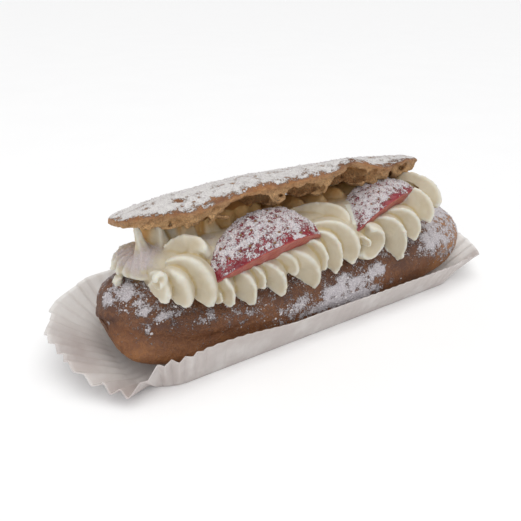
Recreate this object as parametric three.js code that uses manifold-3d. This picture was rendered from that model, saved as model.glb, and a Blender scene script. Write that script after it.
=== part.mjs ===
// A cream eclair in its pleated paper case: a choux bun whose cap was sliced off, a piped coil of
// cream on the cut, two strawberry wedges pressed into the cream, and the cap leaning on top.
// Millimetres. +X runs along the eclair, -Y is the open front, +Z is up. The origin is the middle of
// the case's underside.
import * as THREE from "three";
import { mergeVertices } from "three/addons/utils/BufferGeometryUtils.js";
import Module from "manifold-3d";

const wasm = await Module();
wasm.setup();

// Driving dimensions

const PAPER = 0.45; // thickness of the case's paper
const GAP = 0.35; // air kept between neighbouring pieces

const FLOOR = { length: 132, width: 48.4, corner: 15 }; // flat floor of the case
const PLEATS = 108; // folds round the case
const PLEAT_DEPTH = 0.9; // crest of a pleat at the rim where the wall stands free
const PRESSED_PLEAT = 0.2; // crest where the bun has pressed the pleats flat

// The case's wall, from the right end round by the back: how far the rim leans out past the floor's
// edge, how high it stands, and how freely its pleats stand. The bearings are those of a square floor,
// so the corners lie at 45 degrees and its odd multiples.
const RIM = [
  { at: "right end", bearing: 0, lean: 16.4, height: 8, free: 0.6 },
  { at: "back right corner", bearing: 43, lean: 7, height: 10, free: 0.8 },
  { at: "back right shoulder", bearing: 54, lean: 4.2, height: 11, free: 0.3 },
  { at: "back", bearing: 90, lean: 3.8, height: 12.5, free: 0 },
  { at: "back left shoulder", bearing: 128, lean: 4.5, height: 13, free: 0.2 },
  { at: "back left corner", bearing: 140, lean: 8, height: 13.3, free: 0.25 },
  { at: "left end, towards the back", bearing: 158, lean: 14, height: 13.6, free: 0.35 },
  { at: "left end", bearing: 178, lean: 17.3, height: 13, free: 0.5 },
  { at: "left end, towards the front", bearing: 198, lean: 14.8, height: 8.7, free: 0.8 },
  { at: "front left corner", bearing: 219, lean: 9.7, height: 4, free: 1 },
  { at: "front left shoulder", bearing: 228, lean: 3.7, height: 11.3, free: 0.9 },
  { at: "front left quarter", bearing: 237, lean: 3.6, height: 12.4, free: 0.08 },
  { at: "front", bearing: 258, lean: 3.8, height: 10.2, free: 0 },
  { at: "front right quarter", bearing: 310, lean: 4.6, height: 10.5, free: 0.1 },
  { at: "front right corner", bearing: 322, lean: 10, height: 9, free: 0.4 },
];

const BUN = {
  left: -67.3,
  right: 75,
  halfWidth: 25.9,
  belly: 11.5, // height of the widest line
  crown: 27.5, // height the uncut dome would reach
  tail: 2.9, // rise of the belly line at the left end, where piping ended in a tip
};
// The cut that sliced the cap off: its height, its fall towards +X, and where it ends at each side.
const CUT = { height: 23.2, fall: 0.03, left: -59, right: 51, runOut: 7 };

const CAP = {
  centre: [-3.6, 2, 43.7],
  halfLength: 56.7,
  halfWidth: 17.6,
  dome: 3.3,
  sag: 2, // droop of both ends
  tilt: -16.5, // degrees about X: the cream props the front edge up
  crumb: 5.8, // depth of the crumb that hangs below the crust's edge, thinner at the left tip
  hollow: 1.2, // how far a torn pocket rises above that edge
};
// Dips and rises of the cap's front edge: middle, half-width along X and height.
const EDGE_WAVES = [
  { x: -38, half: 9, rise: -1.8 },
  { x: 17, half: 7, rise: 2.2 },
  { x: 31, half: 7, rise: -1.5 },
];
// Air pockets torn open along the cap's front edge: middle and half-width along X.
const POCKETS = [
  { x: -21, half: 9 },
  { x: -2, half: 7 },
  { x: 16, half: 9 },
];

// The piped coil: a bed of cream over the cut, lobes that climb over its back, and petals at the front.
const COIL = {
  middle: { y: -2.5, z: 28 },
  reach: { back: 14, front: 18.2, up: 6.5 }, // half-axes of the path that the cream follows
  hang: 13, // how far the path could fall below the middle at the front
  lean: 0.3, // fall of the coil's top towards the back, like the cap above it
};
const BED = { left: -55, right: 49, first: -30, last: 186, out: 0.6, sink: 6.5 }; // it sinks to the bun's cut
const LOBES = { left: -47, right: 46, count: 12, first: -38, last: 100, advance: 5, width: 5.2, rise: 5.4 };
// The petals as they were piped by hand: where each sets off along X and in degrees over the coil from the
// level of the back, where it turns back along X and ends in degrees, its half-width and its rise.
const PETAL_BEND = 115; // degrees that a petal bends on its way
const PETALS = [
  { x: -57.2, turn: 150, tipX: -55.4, tipTurn: 180, width: 3.2, rise: 4.8 },
  { x: -54.6, turn: 152, tipX: -49.8, tipTurn: 193, width: 3.9, rise: 5.2 },
  { x: -52.5, turn: 140, tipX: -42.9, tipTurn: 202, width: 4, rise: 5.4 },
  { x: -49.8, turn: 112, tipX: -41.6, tipTurn: 146, width: 3.6, rise: 4.2 },
  { x: -42.5, turn: 182, tipX: -40, tipTurn: 207, width: 2.2, rise: 4 },
  { x: -41.5, turn: 168, tipX: -36.6, tipTurn: 213, width: 2.9, rise: 5 },
  { x: -35, turn: 170, tipX: -29.6, tipTurn: 222, width: 3.4, rise: 5.2 },
  { x: -31.5, turn: 168, tipX: -26.4, tipTurn: 202, width: 2.6, rise: 4.6 },
  { x: -28, turn: 169, tipX: -19.4, tipTurn: 222, width: 3.5, rise: 5.2 },
  { x: -25, turn: 160, tipX: -15, tipTurn: 198, width: 3.2, rise: 4 },
  { x: -20.8, turn: 163, tipX: -7.2, tipTurn: 230, width: 4.8, rise: 5.4 },
  { x: -13, turn: 156, tipX: -4.6, tipTurn: 202, width: 2.8, rise: 4.8 },
  { x: -7, turn: 152, tipX: 1.1, tipTurn: 213, width: 3.2, rise: 5 },
  { x: -7.5, turn: 141, tipX: 7.5, tipTurn: 206, width: 4.4, rise: 5.2 },
  { x: -10.5, turn: 103, tipX: 7, tipTurn: 158, width: 4.2, rise: 3.4 },
  { x: 18, turn: 156, tipX: 29, tipTurn: 234, width: 3.5, rise: 5.2 },
  { x: 23.5, turn: 150, tipX: 34.3, tipTurn: 200, width: 3.6, rise: 5 },
  { x: 7.4, turn: 170, tipX: 11.2, tipTurn: 184, width: 1.7, rise: 6.2 },
  { x: 32, turn: 126, tipX: 40, tipTurn: 178, width: 4.2, rise: 5.4 },
  { x: 36, turn: 92, tipX: 45, tipTurn: 164, width: 5, rise: 5.8 },
];
// A petal curled round on itself, between the wedges: angles in degrees, clockwise as seen from outside.
const SHELL = { x: 13.6, turn: 186, out: 1.2, radius: 5.4, first: 95, sweep: 235, rise: 3 };
// Peaks that the cap pulled up at the left end: foot, tip and the radius at each.
const PEAKS = [
  { foot: [-53.2, -4.5, 29.5], tip: [-55.6, -5, 42.5], footRadius: 4.4, tipRadius: 0.9 },
  { foot: [-48, -5.5, 30.5], tip: [-49.2, -5.5, 42.5], footRadius: 4.6, tipRadius: 0.9 },
  { foot: [-41, -6, 31], tip: [-41.5, -5, 42.5], footRadius: 5.5, tipRadius: 2.4 },
  { foot: [-33, -6, 31], tip: [-35, -4.5, 42.5], footRadius: 5.5, tipRadius: 2.2 },
];
const BACK_ROLL = { left: -53.5, right: -14, y: 0.5, z: 37, across: 6.5, up: 6.5 }; // cream in the cap's hollow
// The clump where piping began: a low dome whose left side is folded by the star nozzle.
const START = { middle: [-51.3, 0.8, 27.4], reach: [9.6, 11], height: 5, foot: 2.2, folds: 22, depth: 0.12 };

const BERRY = { halfLength: 19.5, halfWidth: 14.5, thickness: 9, taper: 0.12 }; // a sliced berry's flank
const BERRY_CUT = { front: -2, under: 2 }; // the two knife cuts, measured from the berry's middle
// Where each wedge lies: the middle of the lower edge of its front cut, its turn in plan, its rise along
// its length and the slope of its skin towards the front, in degrees, and its size beside the berry above.
const WEDGES = [
  { name: "strawberry_left", middle: [-23, -22.5, 30.5], turn: 5, rise: 4.2, slope: 35, size: 1 },
  { name: "strawberry_right", middle: [25.3, -18, 32.1], turn: 11, rise: 8.3, slope: 24, size: 0.92 },
];

const PRESSED_IN = [4, 8]; // steps of the way by which a wedge was pressed into the cream
const DRIP = { at: [-61.2, 0, 24.6], radius: 1.5, stretch: 1.6, lean: 35 };

const COLOURS = {
  paper: 0xe4e0da,
  crust: 0x8a5a30,
  cap: 0xa8743c,
  cream: 0xefe6cc,
  berry: 0x9c1f26,
};

// Helpers

const radians = THREE.MathUtils.degToRad;
const smoothstep = THREE.MathUtils.smoothstep;

// A signed power, for superellipse outlines.
const power = (value, exponent) => Math.sign(value) * Math.abs(value) ** exponent;

// How much of the full size a rounded body still has at a share of the way to its end.
const roundedEnd = (share, squareness) =>
  Math.max(0, 1 - Math.abs(share) ** squareness) ** (1 / squareness);

// A sphere's mesh laid along X and reshaped: surface(around, along) gives each point. around runs from
// the underside by the back, the top and the front; along runs from the right end to the left end.
function reshapedSphere(around, along, surface) {
  const geometry = new THREE.SphereGeometry(1, around, along);
  const position = geometry.getAttribute("position");
  const uv = geometry.getAttribute("uv");
  const point = new THREE.Vector3();
  for (let i = 0; i < position.count; i++) {
    surface(uv.getX(i) % 1, 1 - uv.getY(i), point);
    position.setXYZ(i, point.x, point.y, point.z);
  }
  return geometry;
}

// A closed geometry as a solid for joining and cutting.
function solidOf(geometry) {
  const bare = geometry.clone().deleteAttribute("normal").deleteAttribute("uv");
  const merged = mergeVertices(bare, 1e-4);
  const mesh = new wasm.Mesh({
    numProp: 3,
    vertProperties: new Float32Array(merged.getAttribute("position").array),
    triVerts: new Uint32Array(merged.index.array),
  });
  return new wasm.Manifold(mesh);
}

// The largest connected piece of a solid, without crumbs left by a cut.
const mainBody = (solid) =>
  solid.decompose().reduce((best, body) => (body.volume() > best.volume() ? body : best));

function geometryOf(solid) {
  const mesh = solid.getMesh();
  const geometry = new THREE.BufferGeometry();
  geometry.setAttribute("position", new THREE.BufferAttribute(mesh.vertProperties, 3));
  geometry.setIndex(new THREE.BufferAttribute(mesh.triVerts, 1));
  geometry.computeVertexNormals();
  return geometry;
}

function named(name, geometry, colour, roughness) {
  const material = new THREE.MeshStandardMaterial({ color: colour, roughness, metalness: 0 });
  const mesh = new THREE.Mesh(geometry, material);
  mesh.name = name;
  return mesh;
}

// Paper case

// The floor's outline, a rounded rectangle that starts at the middle of the right end.
function floorOutline() {
  const x = FLOOR.length / 2 - FLOOR.corner;
  const y = FLOOR.width / 2 - FLOOR.corner;
  const path = new THREE.Path();
  path.moveTo(FLOOR.length / 2, 0);
  path.lineTo(FLOOR.length / 2, y);
  path.absarc(x, y, FLOOR.corner, 0, Math.PI / 2);
  path.lineTo(-x, FLOOR.width / 2);
  path.absarc(-x, y, FLOOR.corner, Math.PI / 2, Math.PI);
  path.lineTo(-FLOOR.length / 2, -y);
  path.absarc(-x, -y, FLOOR.corner, Math.PI, 1.5 * Math.PI);
  path.lineTo(x, -FLOOR.width / 2);
  path.absarc(x, -y, FLOOR.corner, 1.5 * Math.PI, 2 * Math.PI);
  path.lineTo(FLOOR.length / 2, 0);
  return path;
}

// The rim's lean, height and freedom in a direction, eased from one named place to the next.
function rimTowards(bearing) {
  const next = RIM.findIndex((place) => place.bearing > bearing);
  const after = next < 0 ? { ...RIM[0], bearing: 360 } : RIM[next];
  const before = RIM[(next < 0 ? RIM.length : next) - 1];
  const ease = smoothstep(bearing, before.bearing, after.bearing);
  const mix = (key) => before[key] + (after[key] - before[key]) * ease;
  return { lean: mix("lean"), height: mix("height"), free: mix("free") };
}

// The case as a turned profile, out along its underside and back along its inside, bent to the floor's
// outline and pleated.
function paperCase() {
  const steps = 2 * PLEATS;
  const profile = [
    { wall: 0, inside: 0, centre: true },
    { wall: 0, inside: 0 },
    { wall: 1, inside: 0 },
    { wall: 1, inside: 1 },
    { wall: 0, inside: 1 },
    { wall: 0, inside: 1, centre: true },
  ];
  const turned = new THREE.LatheGeometry(
    profile.map((row) => new THREE.Vector2(row.centre ? 0 : 1 + row.wall, row.inside)),
    steps,
  );
  const outline = floorOutline();
  const position = turned.getAttribute("position");
  for (let step = 0; step <= steps; step++) {
    const share = (step % steps) / steps;
    const edge = outline.getPointAt(share);
    const tangent = outline.getTangentAt(share);
    const outward = new THREE.Vector2(tangent.y, -tangent.x);
    const square = Math.atan2(edge.y / FLOOR.width, edge.x / FLOOR.length);
    const rim = rimTowards((THREE.MathUtils.radToDeg(square) + 360) % 360);
    const slope = Math.hypot(rim.lean, rim.height);
    const crest = (step % 2 ? 1 : -1) * (PRESSED_PLEAT + (PLEAT_DEPTH - PRESSED_PLEAT) * rim.free);
    profile.forEach((row, index) => {
      const inset = (row.inside * PAPER * (row.wall ? rim.height : slope)) / slope;
      const lift = (row.inside * PAPER * (row.wall ? rim.lean : slope)) / slope;
      const pleat = (crest * row.wall * rim.height) / slope;
      const out = rim.lean * row.wall - inset + pleat;
      const x = row.centre ? 0 : edge.x + outward.x * out;
      const y = row.centre ? 0 : edge.y + outward.y * out;
      const rise = rim.height * row.wall - (crest * row.wall * rim.lean) / slope;
      position.setXYZ(step * profile.length + index, x, y, Math.max(0, rise) + lift);
    });
  }
  return turned;
}

// Choux bun

// Height of the cut. It runs out upwards at both ends, where the bun keeps its full dome.
function cutHeight(x) {
  const pastRight = smoothstep(x, CUT.right, CUT.right + CUT.runOut);
  const pastLeft = smoothstep(-x, -CUT.left, -CUT.left + CUT.runOut);
  return CUT.height - CUT.fall * x + CUT.runOut * (pastRight + pastLeft);
}

// The bun's skin, grown outwards by a margin where a neighbour has to keep clear of it.
function bunSolid(grow = 0) {
  const middle = (BUN.left + BUN.right) / 2;
  const half = (BUN.right - BUN.left) / 2 + grow;
  const bottom = PAPER + GAP - grow;
  const geometry = reshapedSphere(32, 28, (around, along, point) => {
    const share = Math.cos(Math.PI * along);
    const side = Math.sin(2 * Math.PI * around);
    const up = -Math.cos(2 * Math.PI * around);
    const leftEnd = smoothstep(-share, 0.55, 1);
    const belly = BUN.belly + BUN.tail * leftEnd;
    const dome = (BUN.crown - belly + grow) * roundedEnd(share, share > 0 ? 3 : 3.5);
    const keel = (belly - bottom) * roundedEnd(share, share > 0 ? 3.2 : 4.5);
    const lumps = 0.012 * Math.sin(9 * share + 5 * side) + 0.01 * Math.sin(17 * share - 3 * up);
    const squareness = share > 0 ? 2.8 : up > 0 ? 2.7 : 2.7 - 3.9 * up;
    const evenWidth = (BUN.halfWidth + grow) * roundedEnd(share, squareness);
    const width = evenWidth * (1 + lumps * smoothstep(up, -0.4, 0.4));
    const z = belly + (up > 0 ? dome * up : keel * power(up, 0.6));
    const x = middle + half * share;
    point.set(x, width * power(side, up > 0 ? 1 : 0.65), Math.min(z, cutHeight(x) + grow));
  });
  return solidOf(geometry);
}

// Choux cap

// Height of the cap's wavy front edge above its own flat plane.
function edgeWave(x) {
  let height = 0;
  for (const wave of EDGE_WAVES) height += wave.rise * Math.exp(-(((x - wave.x) / wave.half) ** 2));
  return height;
}

// How open the torn pockets are at a place along the front edge, from 0 to 1.
const pocketAt = (x) =>
  Math.max(...POCKETS.map(({ x: middle, half }) => roundedEnd(Math.min(1, Math.abs(x - middle) / half), 2)));

// The cap, in place. above lifts its top, so that it also clears whatever would stick out over it.
function capSolid(grow = 0, above = 0) {
  const geometry = reshapedSphere(28, 32, (around, along, point) => {
    const share = Math.cos(Math.PI * along);
    const side = Math.sin(2 * Math.PI * around);
    const up = -Math.cos(2 * Math.PI * around);
    const x = (CAP.halfLength + grow) * share;
    const body = roundedEnd(share, share > 0 ? 2.4 : 3.1);
    const y = (CAP.halfWidth + grow) * body * power(side, 0.9);
    const front = smoothstep(-side, 0.2, 0.9);
    const edge = edgeWave(x) * front * body - CAP.sag * share ** 2;
    const nearEdge = Math.abs(side);
    const cave = pocketAt(x) * smoothstep(-side, 0.05, 0.45);
    const thick = (1 - nearEdge ** 6) * (0.65 + 0.35 * Math.sin(Math.PI * nearEdge));
    const crumb = CAP.crumb * thick * (1 + 0.1 * Math.sin(x * 1.1)) * (1 - cave);
    const hollow = CAP.hollow * (1 - nearEdge ** 2) * cave;
    const solidHere = body === 0 ? 0 : 1;
    const taper = body ** (share > 0 ? 0.6 : 1.6);
    const under = (hollow - crumb) * taper - grow * solidHere;
    const over = CAP.dome * body * power(Math.max(0, up), 0.9) + (grow + above) * solidHere;
    point.set(x, y, edge + (up > 1e-6 ? over : under));
  });
  return solidOf(geometry.rotateX(radians(CAP.tilt)).translate(...CAP.centre));
}

// Strawberry wedges

// A wedge in its own frame: skin up, its straight front cut along X, the middle of that cut's lower edge
// at the origin.
function wedgeSolid(grow = 0, fineness = 8) {
  const whole = reshapedSphere(3 * fineness, 2 * fineness, (around, along, point) => {
    const share = Math.cos(Math.PI * along);
    const girth = roundedEnd(share, share < 0 ? 1.75 : 2.2) * (1 + BERRY.taper * share);
    const y = (BERRY.halfWidth + grow) * girth * Math.sin(2 * Math.PI * around);
    const z = -(BERRY.thickness + grow) * girth * Math.cos(2 * Math.PI * around);
    point.set((BERRY.halfLength + grow) * share, y - BERRY_CUT.front, z - BERRY_CUT.under);
  });
  const size = 4 * BERRY.halfLength;
  const underside = new THREE.BoxGeometry(size, size, size).translate(0, 0, -size / 2 - grow);
  const front = new THREE.BoxGeometry(size, size, size).translate(0, -size / 2 - grow, 0);
  return solidOf(whole).subtract(solidOf(underside)).subtract(solidOf(front));
}

function wedgeMatrix({ middle, turn, rise, slope, size }) {
  const angles = new THREE.Euler(radians(slope), radians(-rise), radians(turn), "ZYX");
  const turned = new THREE.Quaternion().setFromEuler(angles);
  const scale = new THREE.Vector3(size, size, size);
  return new THREE.Matrix4().compose(new THREE.Vector3(...middle), turned, scale);
}

const placed = (solid, matrix) => solidOf(geometryOf(solid).applyMatrix4(matrix));

// The cap with the dents that the wedges press into its crumb.
function dentedCap(wedges) {
  let cap = capSolid();
  for (const { matrix } of wedges) cap = cap.subtract(placed(wedgeSolid(GAP), matrix));
  return mainBody(cap);
}

// Piped cream

// A point over the coil: turn is 0 at the level of the back, 90 on top and 180 at the level of the front.
function coilPlace(x, turn, out = 0) {
  const level = radians(Math.min(turn, 180));
  const hang = radians(Math.max(turn - 180, 0));
  const reach = Math.cos(level) < 0 ? COIL.reach.front : COIL.reach.back;
  const facing = level + hang / 2;
  const y = COIL.middle.y + reach * Math.cos(level) * Math.cos(hang / 2) + out * Math.cos(facing);
  const path = COIL.reach.up * Math.sin(level) - COIL.hang * Math.sin(hang);
  const fall = COIL.lean * (y - COIL.middle.y) * Math.max(0, Math.sin(level));
  return new THREE.Vector3(x, y, COIL.middle.z + path + out * Math.sin(facing) - fall);
}

const outwardAt = (x, turn) => coilPlace(x, turn, 1).sub(coilPlace(x, turn));

// A closed skin round a path: section(around, share) gives how far aside and how far out it reaches.
function strand(around, along, path, outward, section) {
  const geometry = reshapedSphere(around, along, (bearing, step, point) => {
    const share = (1 - Math.cos(Math.PI * step)) / 2;
    const ahead = path(share + 0.005).sub(path(share - 0.005)).normalize();
    const out = outward(share);
    out.addScaledVector(ahead, -out.dot(ahead)).normalize();
    const across = new THREE.Vector3().crossVectors(out, ahead);
    const { aside, height } = section(2 * Math.PI * bearing, share);
    point.copy(path(share)).addScaledVector(across, aside).addScaledVector(out, height);
  });
  return solidOf(geometry);
}

// A petal sets off along the coil, bends and hangs down the front, with its sharper rim on the outer side.
function petal({ x, turn, tipX, tipTurn, width, rise }) {
  const route = (share) => {
    const bend = radians(PETAL_BEND) * share;
    const fall = (1 - Math.cos(bend)) / (1 - Math.cos(radians(PETAL_BEND)));
    return [x + (tipX - x) * Math.sin(bend), turn + (tipTurn - turn) * fall];
  };
  const sharp = 0.3 + 0.3 * smoothstep(x, -56, -44);
  const wide = 0.8 + 0.6 * smoothstep(x, -57.5, -47);
  const section = (bearing, share) => {
    const start = roundedEnd(Math.max(0, 1 - share / 0.45), 1.5);
    const tip = roundedEnd(Math.max(0, (share - 0.62) / 0.38), 3.8);
    const out = -Math.cos(bearing);
    const side = -Math.sin(bearing);
    const lean = (side < 0 ? wide : 0.85) * (1 - sharp * smoothstep(out, -0.1, 1));
    const aside = width * (start * tip * side * lean - 0.3 * (1 - tip));
    return { aside, height: rise * (start * tip * out + 0.55 * (1 - tip)) };
  };
  return strand(8, 8, (share) => coilPlace(...route(share)), (share) => outwardAt(...route(share)), section);
}

// A lobe climbs over the back of the coil.
function lobe(x) {
  const route = (share) => [x + LOBES.advance * share, LOBES.first + (LOBES.last - LOBES.first) * share];
  const section = (bearing, share) => {
    const size = roundedEnd(2 * share - 1, 3);
    const out = -Math.cos(bearing);
    const lean = 1 - 0.5 * smoothstep(out, 0, 1);
    return { aside: -LOBES.width * size * Math.sin(bearing) * lean, height: LOBES.rise * size * out };
  };
  return strand(7, 6, (share) => coilPlace(...route(share)), (share) => outwardAt(...route(share)), section);
}

// The curled petal: a rim that runs clockwise and a face that falls to its middle.
function shell({ x, turn, out, radius, first, sweep, rise }) {
  const middle = coilPlace(x, turn, out);
  const facing = middle.clone().sub(coilPlace(x, turn, out - 1)).normalize();
  const above = new THREE.Vector3().crossVectors(facing, new THREE.Vector3(1, 0, 0));
  const path = (share) => {
    const angle = radians(first - sweep * share);
    const reach = radius * (1 - 0.25 * share ** 2);
    const place = middle.clone().addScaledVector(above, reach * Math.sin(angle));
    place.x += reach * Math.cos(angle);
    return place;
  };
  const section = (bearing, share) => {
    const size = roundedEnd(2 * share - 1, 5);
    const face = -Math.cos(bearing);
    const side = -Math.sin(bearing);
    const lean = (side < 0 ? 0.95 : 0.28) * (1 - 0.35 * smoothstep(face, 0.2, 1));
    const drop = 0.9 * Math.max(0, -side) ** 1.5;
    return { aside: size * radius * lean * side, height: size * rise * (face - drop) };
  };
  return strand(8, 12, path, () => facing.clone(), section);
}

// A peak of cream between the clump and the cap.
function peak({ foot, tip, footRadius, tipRadius }) {
  const from = new THREE.Vector3(...foot);
  const path = (share) => from.clone().lerp(new THREE.Vector3(...tip), share);
  const section = (bearing, share) => {
    const taper = tipRadius + (footRadius - tipRadius) * (1 - share) ** 1.5;
    const radius = taper * roundedEnd(2 * share - 1, 8);
    return { aside: -radius * Math.sin(bearing), height: -radius * Math.cos(bearing) };
  };
  return strand(6, 6, path, () => new THREE.Vector3(0, -1, 0), section);
}

// The cream under the petals and lobes: the coil's outline over the bun, shut underneath.
function coilBed() {
  const geometry = reshapedSphere(15, 10, (around, along, point) => {
    const share = Math.cos(Math.PI * along);
    const x = (BED.left + BED.right + (BED.right - BED.left) * share) / 2;
    const turn = BED.first + (BED.last - BED.first) * Math.min(1, around / 0.8);
    const shut = Math.max(0, (around - 0.8) / 0.2);
    const front = coilPlace(x, BED.last);
    point.copy(shut > 0 ? front.lerp(coilPlace(x, BED.first), shut) : coilPlace(x, turn, BED.out));
    point.z -= BED.sink * (1 - (2 * shut - 1) ** 4);
    const size = roundedEnd(share, 5);
    const { y, z } = COIL.middle;
    point.y = y + (point.y - y) * size;
    point.z = z + (point.z - z) * (point.z < z ? size ** 0.25 : size);
  });
  return solidOf(geometry);
}

// The cream that fills the cap's hollow behind the peaks.
function backRoll() {
  const geometry = reshapedSphere(10, 10, (around, along, point) => {
    const share = Math.cos(Math.PI * along);
    const size = roundedEnd(share, 4);
    const x = (BACK_ROLL.left + BACK_ROLL.right + (BACK_ROLL.right - BACK_ROLL.left) * share) / 2;
    const y = BACK_ROLL.y + BACK_ROLL.across * size * Math.sin(2 * Math.PI * around);
    point.set(x, y, BACK_ROLL.z - BACK_ROLL.up * size * Math.cos(2 * Math.PI * around));
  });
  return solidOf(geometry);
}

// The clump where piping began, at the left end.
function coilStart() {
  const geometry = reshapedSphere(2 * START.folds, 7, (around, along, point) => {
    const side = Math.sin(2 * Math.PI * around);
    const ahead = -Math.cos(2 * Math.PI * around);
    const over = Math.cos(Math.PI * along);
    const folded = smoothstep(-side, 0, 0.6) * smoothstep(ahead, -0.8, 0);
    const fold = START.depth * folded * (Math.abs(Math.cos(START.folds * Math.PI * around)) - 0.5);
    const girth = roundedEnd(over, 2) * (1 + 2 * fold);
    const height = over > 0 ? START.height * (1 + 2 * fold * girth) : START.foot;
    const x = START.middle[0] + START.reach[0] * girth * side;
    const y = START.middle[1] + START.reach[1] * girth * ahead;
    point.set(x, y, START.middle[2] + over * height);
  });
  return solidOf(geometry);
}

// A drip that hangs from that clump on the bun's left shoulder.
function coilDrip() {
  const geometry = new THREE.SphereGeometry(DRIP.radius, 9, 7).scale(1, 1, DRIP.stretch);
  return solidOf(geometry.rotateY(radians(DRIP.lean)).translate(...DRIP.at));
}

// All the cream, cut back from the bun, from the cap, and from each wedge and the way it was pushed in.
function creamSolid(wedges) {
  let cream = coilBed().add(backRoll()).add(coilStart()).add(coilDrip()).add(shell(SHELL));
  for (let i = 0; i < LOBES.count; i++) {
    cream = cream.add(lobe(LOBES.left + ((LOBES.right - LOBES.left) * i) / (LOBES.count - 1)));
  }
  for (const sizes of PETALS) cream = cream.add(petal(sizes));
  for (const sizes of PEAKS) cream = cream.add(peak(sizes));
  cream = cream.subtract(bunSolid(GAP)).subtract(capSolid(GAP, 40));
  for (const { matrix } of wedges) {
    cream = cream.subtract(placed(wedgeSolid(GAP), matrix));
    for (const lift of PRESSED_IN) {
      const lifted = matrix.clone().multiply(new THREE.Matrix4().makeTranslation(0, 0, lift));
      cream = cream.subtract(placed(wedgeSolid(GAP, 4), lifted));
    }
  }
  return mainBody(cream);
}

// Assembly

const wedgePlaces = WEDGES.map((wedge) => ({ ...wedge, matrix: wedgeMatrix(wedge) }));

const eclair = new THREE.Group();
eclair.name = "eclair";
eclair.add(named("paper_case", paperCase(), COLOURS.paper, 0.9));
eclair.add(named("choux_bun", geometryOf(bunSolid()), COLOURS.crust, 0.65));
eclair.add(named("piped_cream", geometryOf(creamSolid(wedgePlaces)), COLOURS.cream, 0.5));
for (const { name, matrix } of wedgePlaces) {
  const wedge = named(name, geometryOf(wedgeSolid()), COLOURS.berry, 0.4);
  wedge.applyMatrix4(matrix);
  eclair.add(wedge);
}
eclair.add(named("choux_cap", geometryOf(dentedCap(wedgePlaces)), COLOURS.cap, 0.7));

export default eclair;
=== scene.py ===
# %% [markdown]
# # A cream eclair in its paper case
# A long choux bun was baked, its top was sliced off, a coil of cream was piped on the cut, two
# strawberry wedges were pressed into the cream, the top went back on as a cap, and icing sugar was
# sifted over it all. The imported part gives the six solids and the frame. Each step below makes one of
# them again with the detail that the real thing shows, from the same sizes, so that it sits exactly
# where its solid sits. Lengths in this lesson are millimetres until a mesh is made, because a baker
# thinks in millimetres.

import math

import bmesh
import bpy
import numpy as np
from mathutils import Euler, Matrix, Vector


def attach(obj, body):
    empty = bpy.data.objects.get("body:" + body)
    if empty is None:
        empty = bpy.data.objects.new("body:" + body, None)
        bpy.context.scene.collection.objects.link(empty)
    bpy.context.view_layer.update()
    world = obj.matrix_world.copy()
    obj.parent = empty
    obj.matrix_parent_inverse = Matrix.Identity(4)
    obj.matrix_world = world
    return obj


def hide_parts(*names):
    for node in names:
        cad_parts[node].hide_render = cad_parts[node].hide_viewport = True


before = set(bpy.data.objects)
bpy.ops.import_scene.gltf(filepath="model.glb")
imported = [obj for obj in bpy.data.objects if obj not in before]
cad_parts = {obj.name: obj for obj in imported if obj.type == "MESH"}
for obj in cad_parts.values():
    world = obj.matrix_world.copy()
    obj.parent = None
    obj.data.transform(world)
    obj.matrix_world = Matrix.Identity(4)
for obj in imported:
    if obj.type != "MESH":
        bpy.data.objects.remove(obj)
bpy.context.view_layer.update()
MILLIMETRE = 0.001
print("solids:", ", ".join(sorted(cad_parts)))

# %% [markdown]
# ## Curves and noise
# Pastry is made of soft curves, so most shapes here are formulas over a sheet of points. Two small
# curves do most of the work: smoothstep eases from 0 to 1, and rounded_end says how much of its full
# size a rounded body still has on the way to its end. Noise gives what no formula has: lumps, crackle
# and crumb. Blender has noise textures, but a mesh needs noise at its own points, so three kinds are
# written out with numpy.

# %% Curves
def smoothstep(value, low, high):
    share = np.clip((value - low) / (high - low), 0, 1)
    return share * share * (3 - 2 * share)


def power(value, exponent):
    return np.sign(value) * np.abs(value) ** exponent


def rounded_end(share, squareness):
    return np.maximum(0, 1 - np.abs(share) ** squareness) ** (1 / squareness)


print("a rounded end at half way keeps", round(float(rounded_end(0.5, 3.0)), 3))


# %% Noise
CELL_FACTORS = (73856093, 19349663, 83492791)
SEED_FACTOR = 2654435761
SCRAMBLE_FACTOR = 0x45D9F3B
LARGEST_NUMBER = 0xFFFFFFFF


def lattice_numbers(cells, seed):
    """One fixed number from 0 to 1 for each whole-number cell of space."""
    x, y, z = (cells[..., axis] * factor for axis, factor in enumerate(CELL_FACTORS))
    mixed = (x ^ y ^ z ^ (seed * SEED_FACTOR)) & LARGEST_NUMBER
    for _ in range(2):
        mixed = ((mixed ^ (mixed >> 16)) * SCRAMBLE_FACTOR) & LARGEST_NUMBER
    return (mixed ^ (mixed >> 16)) / LARGEST_NUMBER


def soft_noise(points, size, seed):
    """Smooth noise from -1 to 1, with lumps about size millimetres across."""
    place = points / size
    cell = np.floor(place).astype(np.int64)
    part = place - cell
    ease = part**3 * (part * (part * 6 - 15) + 10)
    total = np.zeros(len(points))
    for corner in np.ndindex(2, 2, 2):
        weight = np.prod(np.where(corner, ease, 1 - ease), axis=-1)
        total += weight * lattice_numbers(cell + np.array(corner), seed)
    return 2 * total - 1


def rough_noise(points, size, seed, layers=3):
    """Soft noise with finer and weaker layers on top."""
    total = np.zeros(len(points))
    for layer in range(layers):
        total += soft_noise(points, size / 2**layer, seed + layer) / 2**layer
    return total / (2 - 2 ** (1 - layers))


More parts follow.
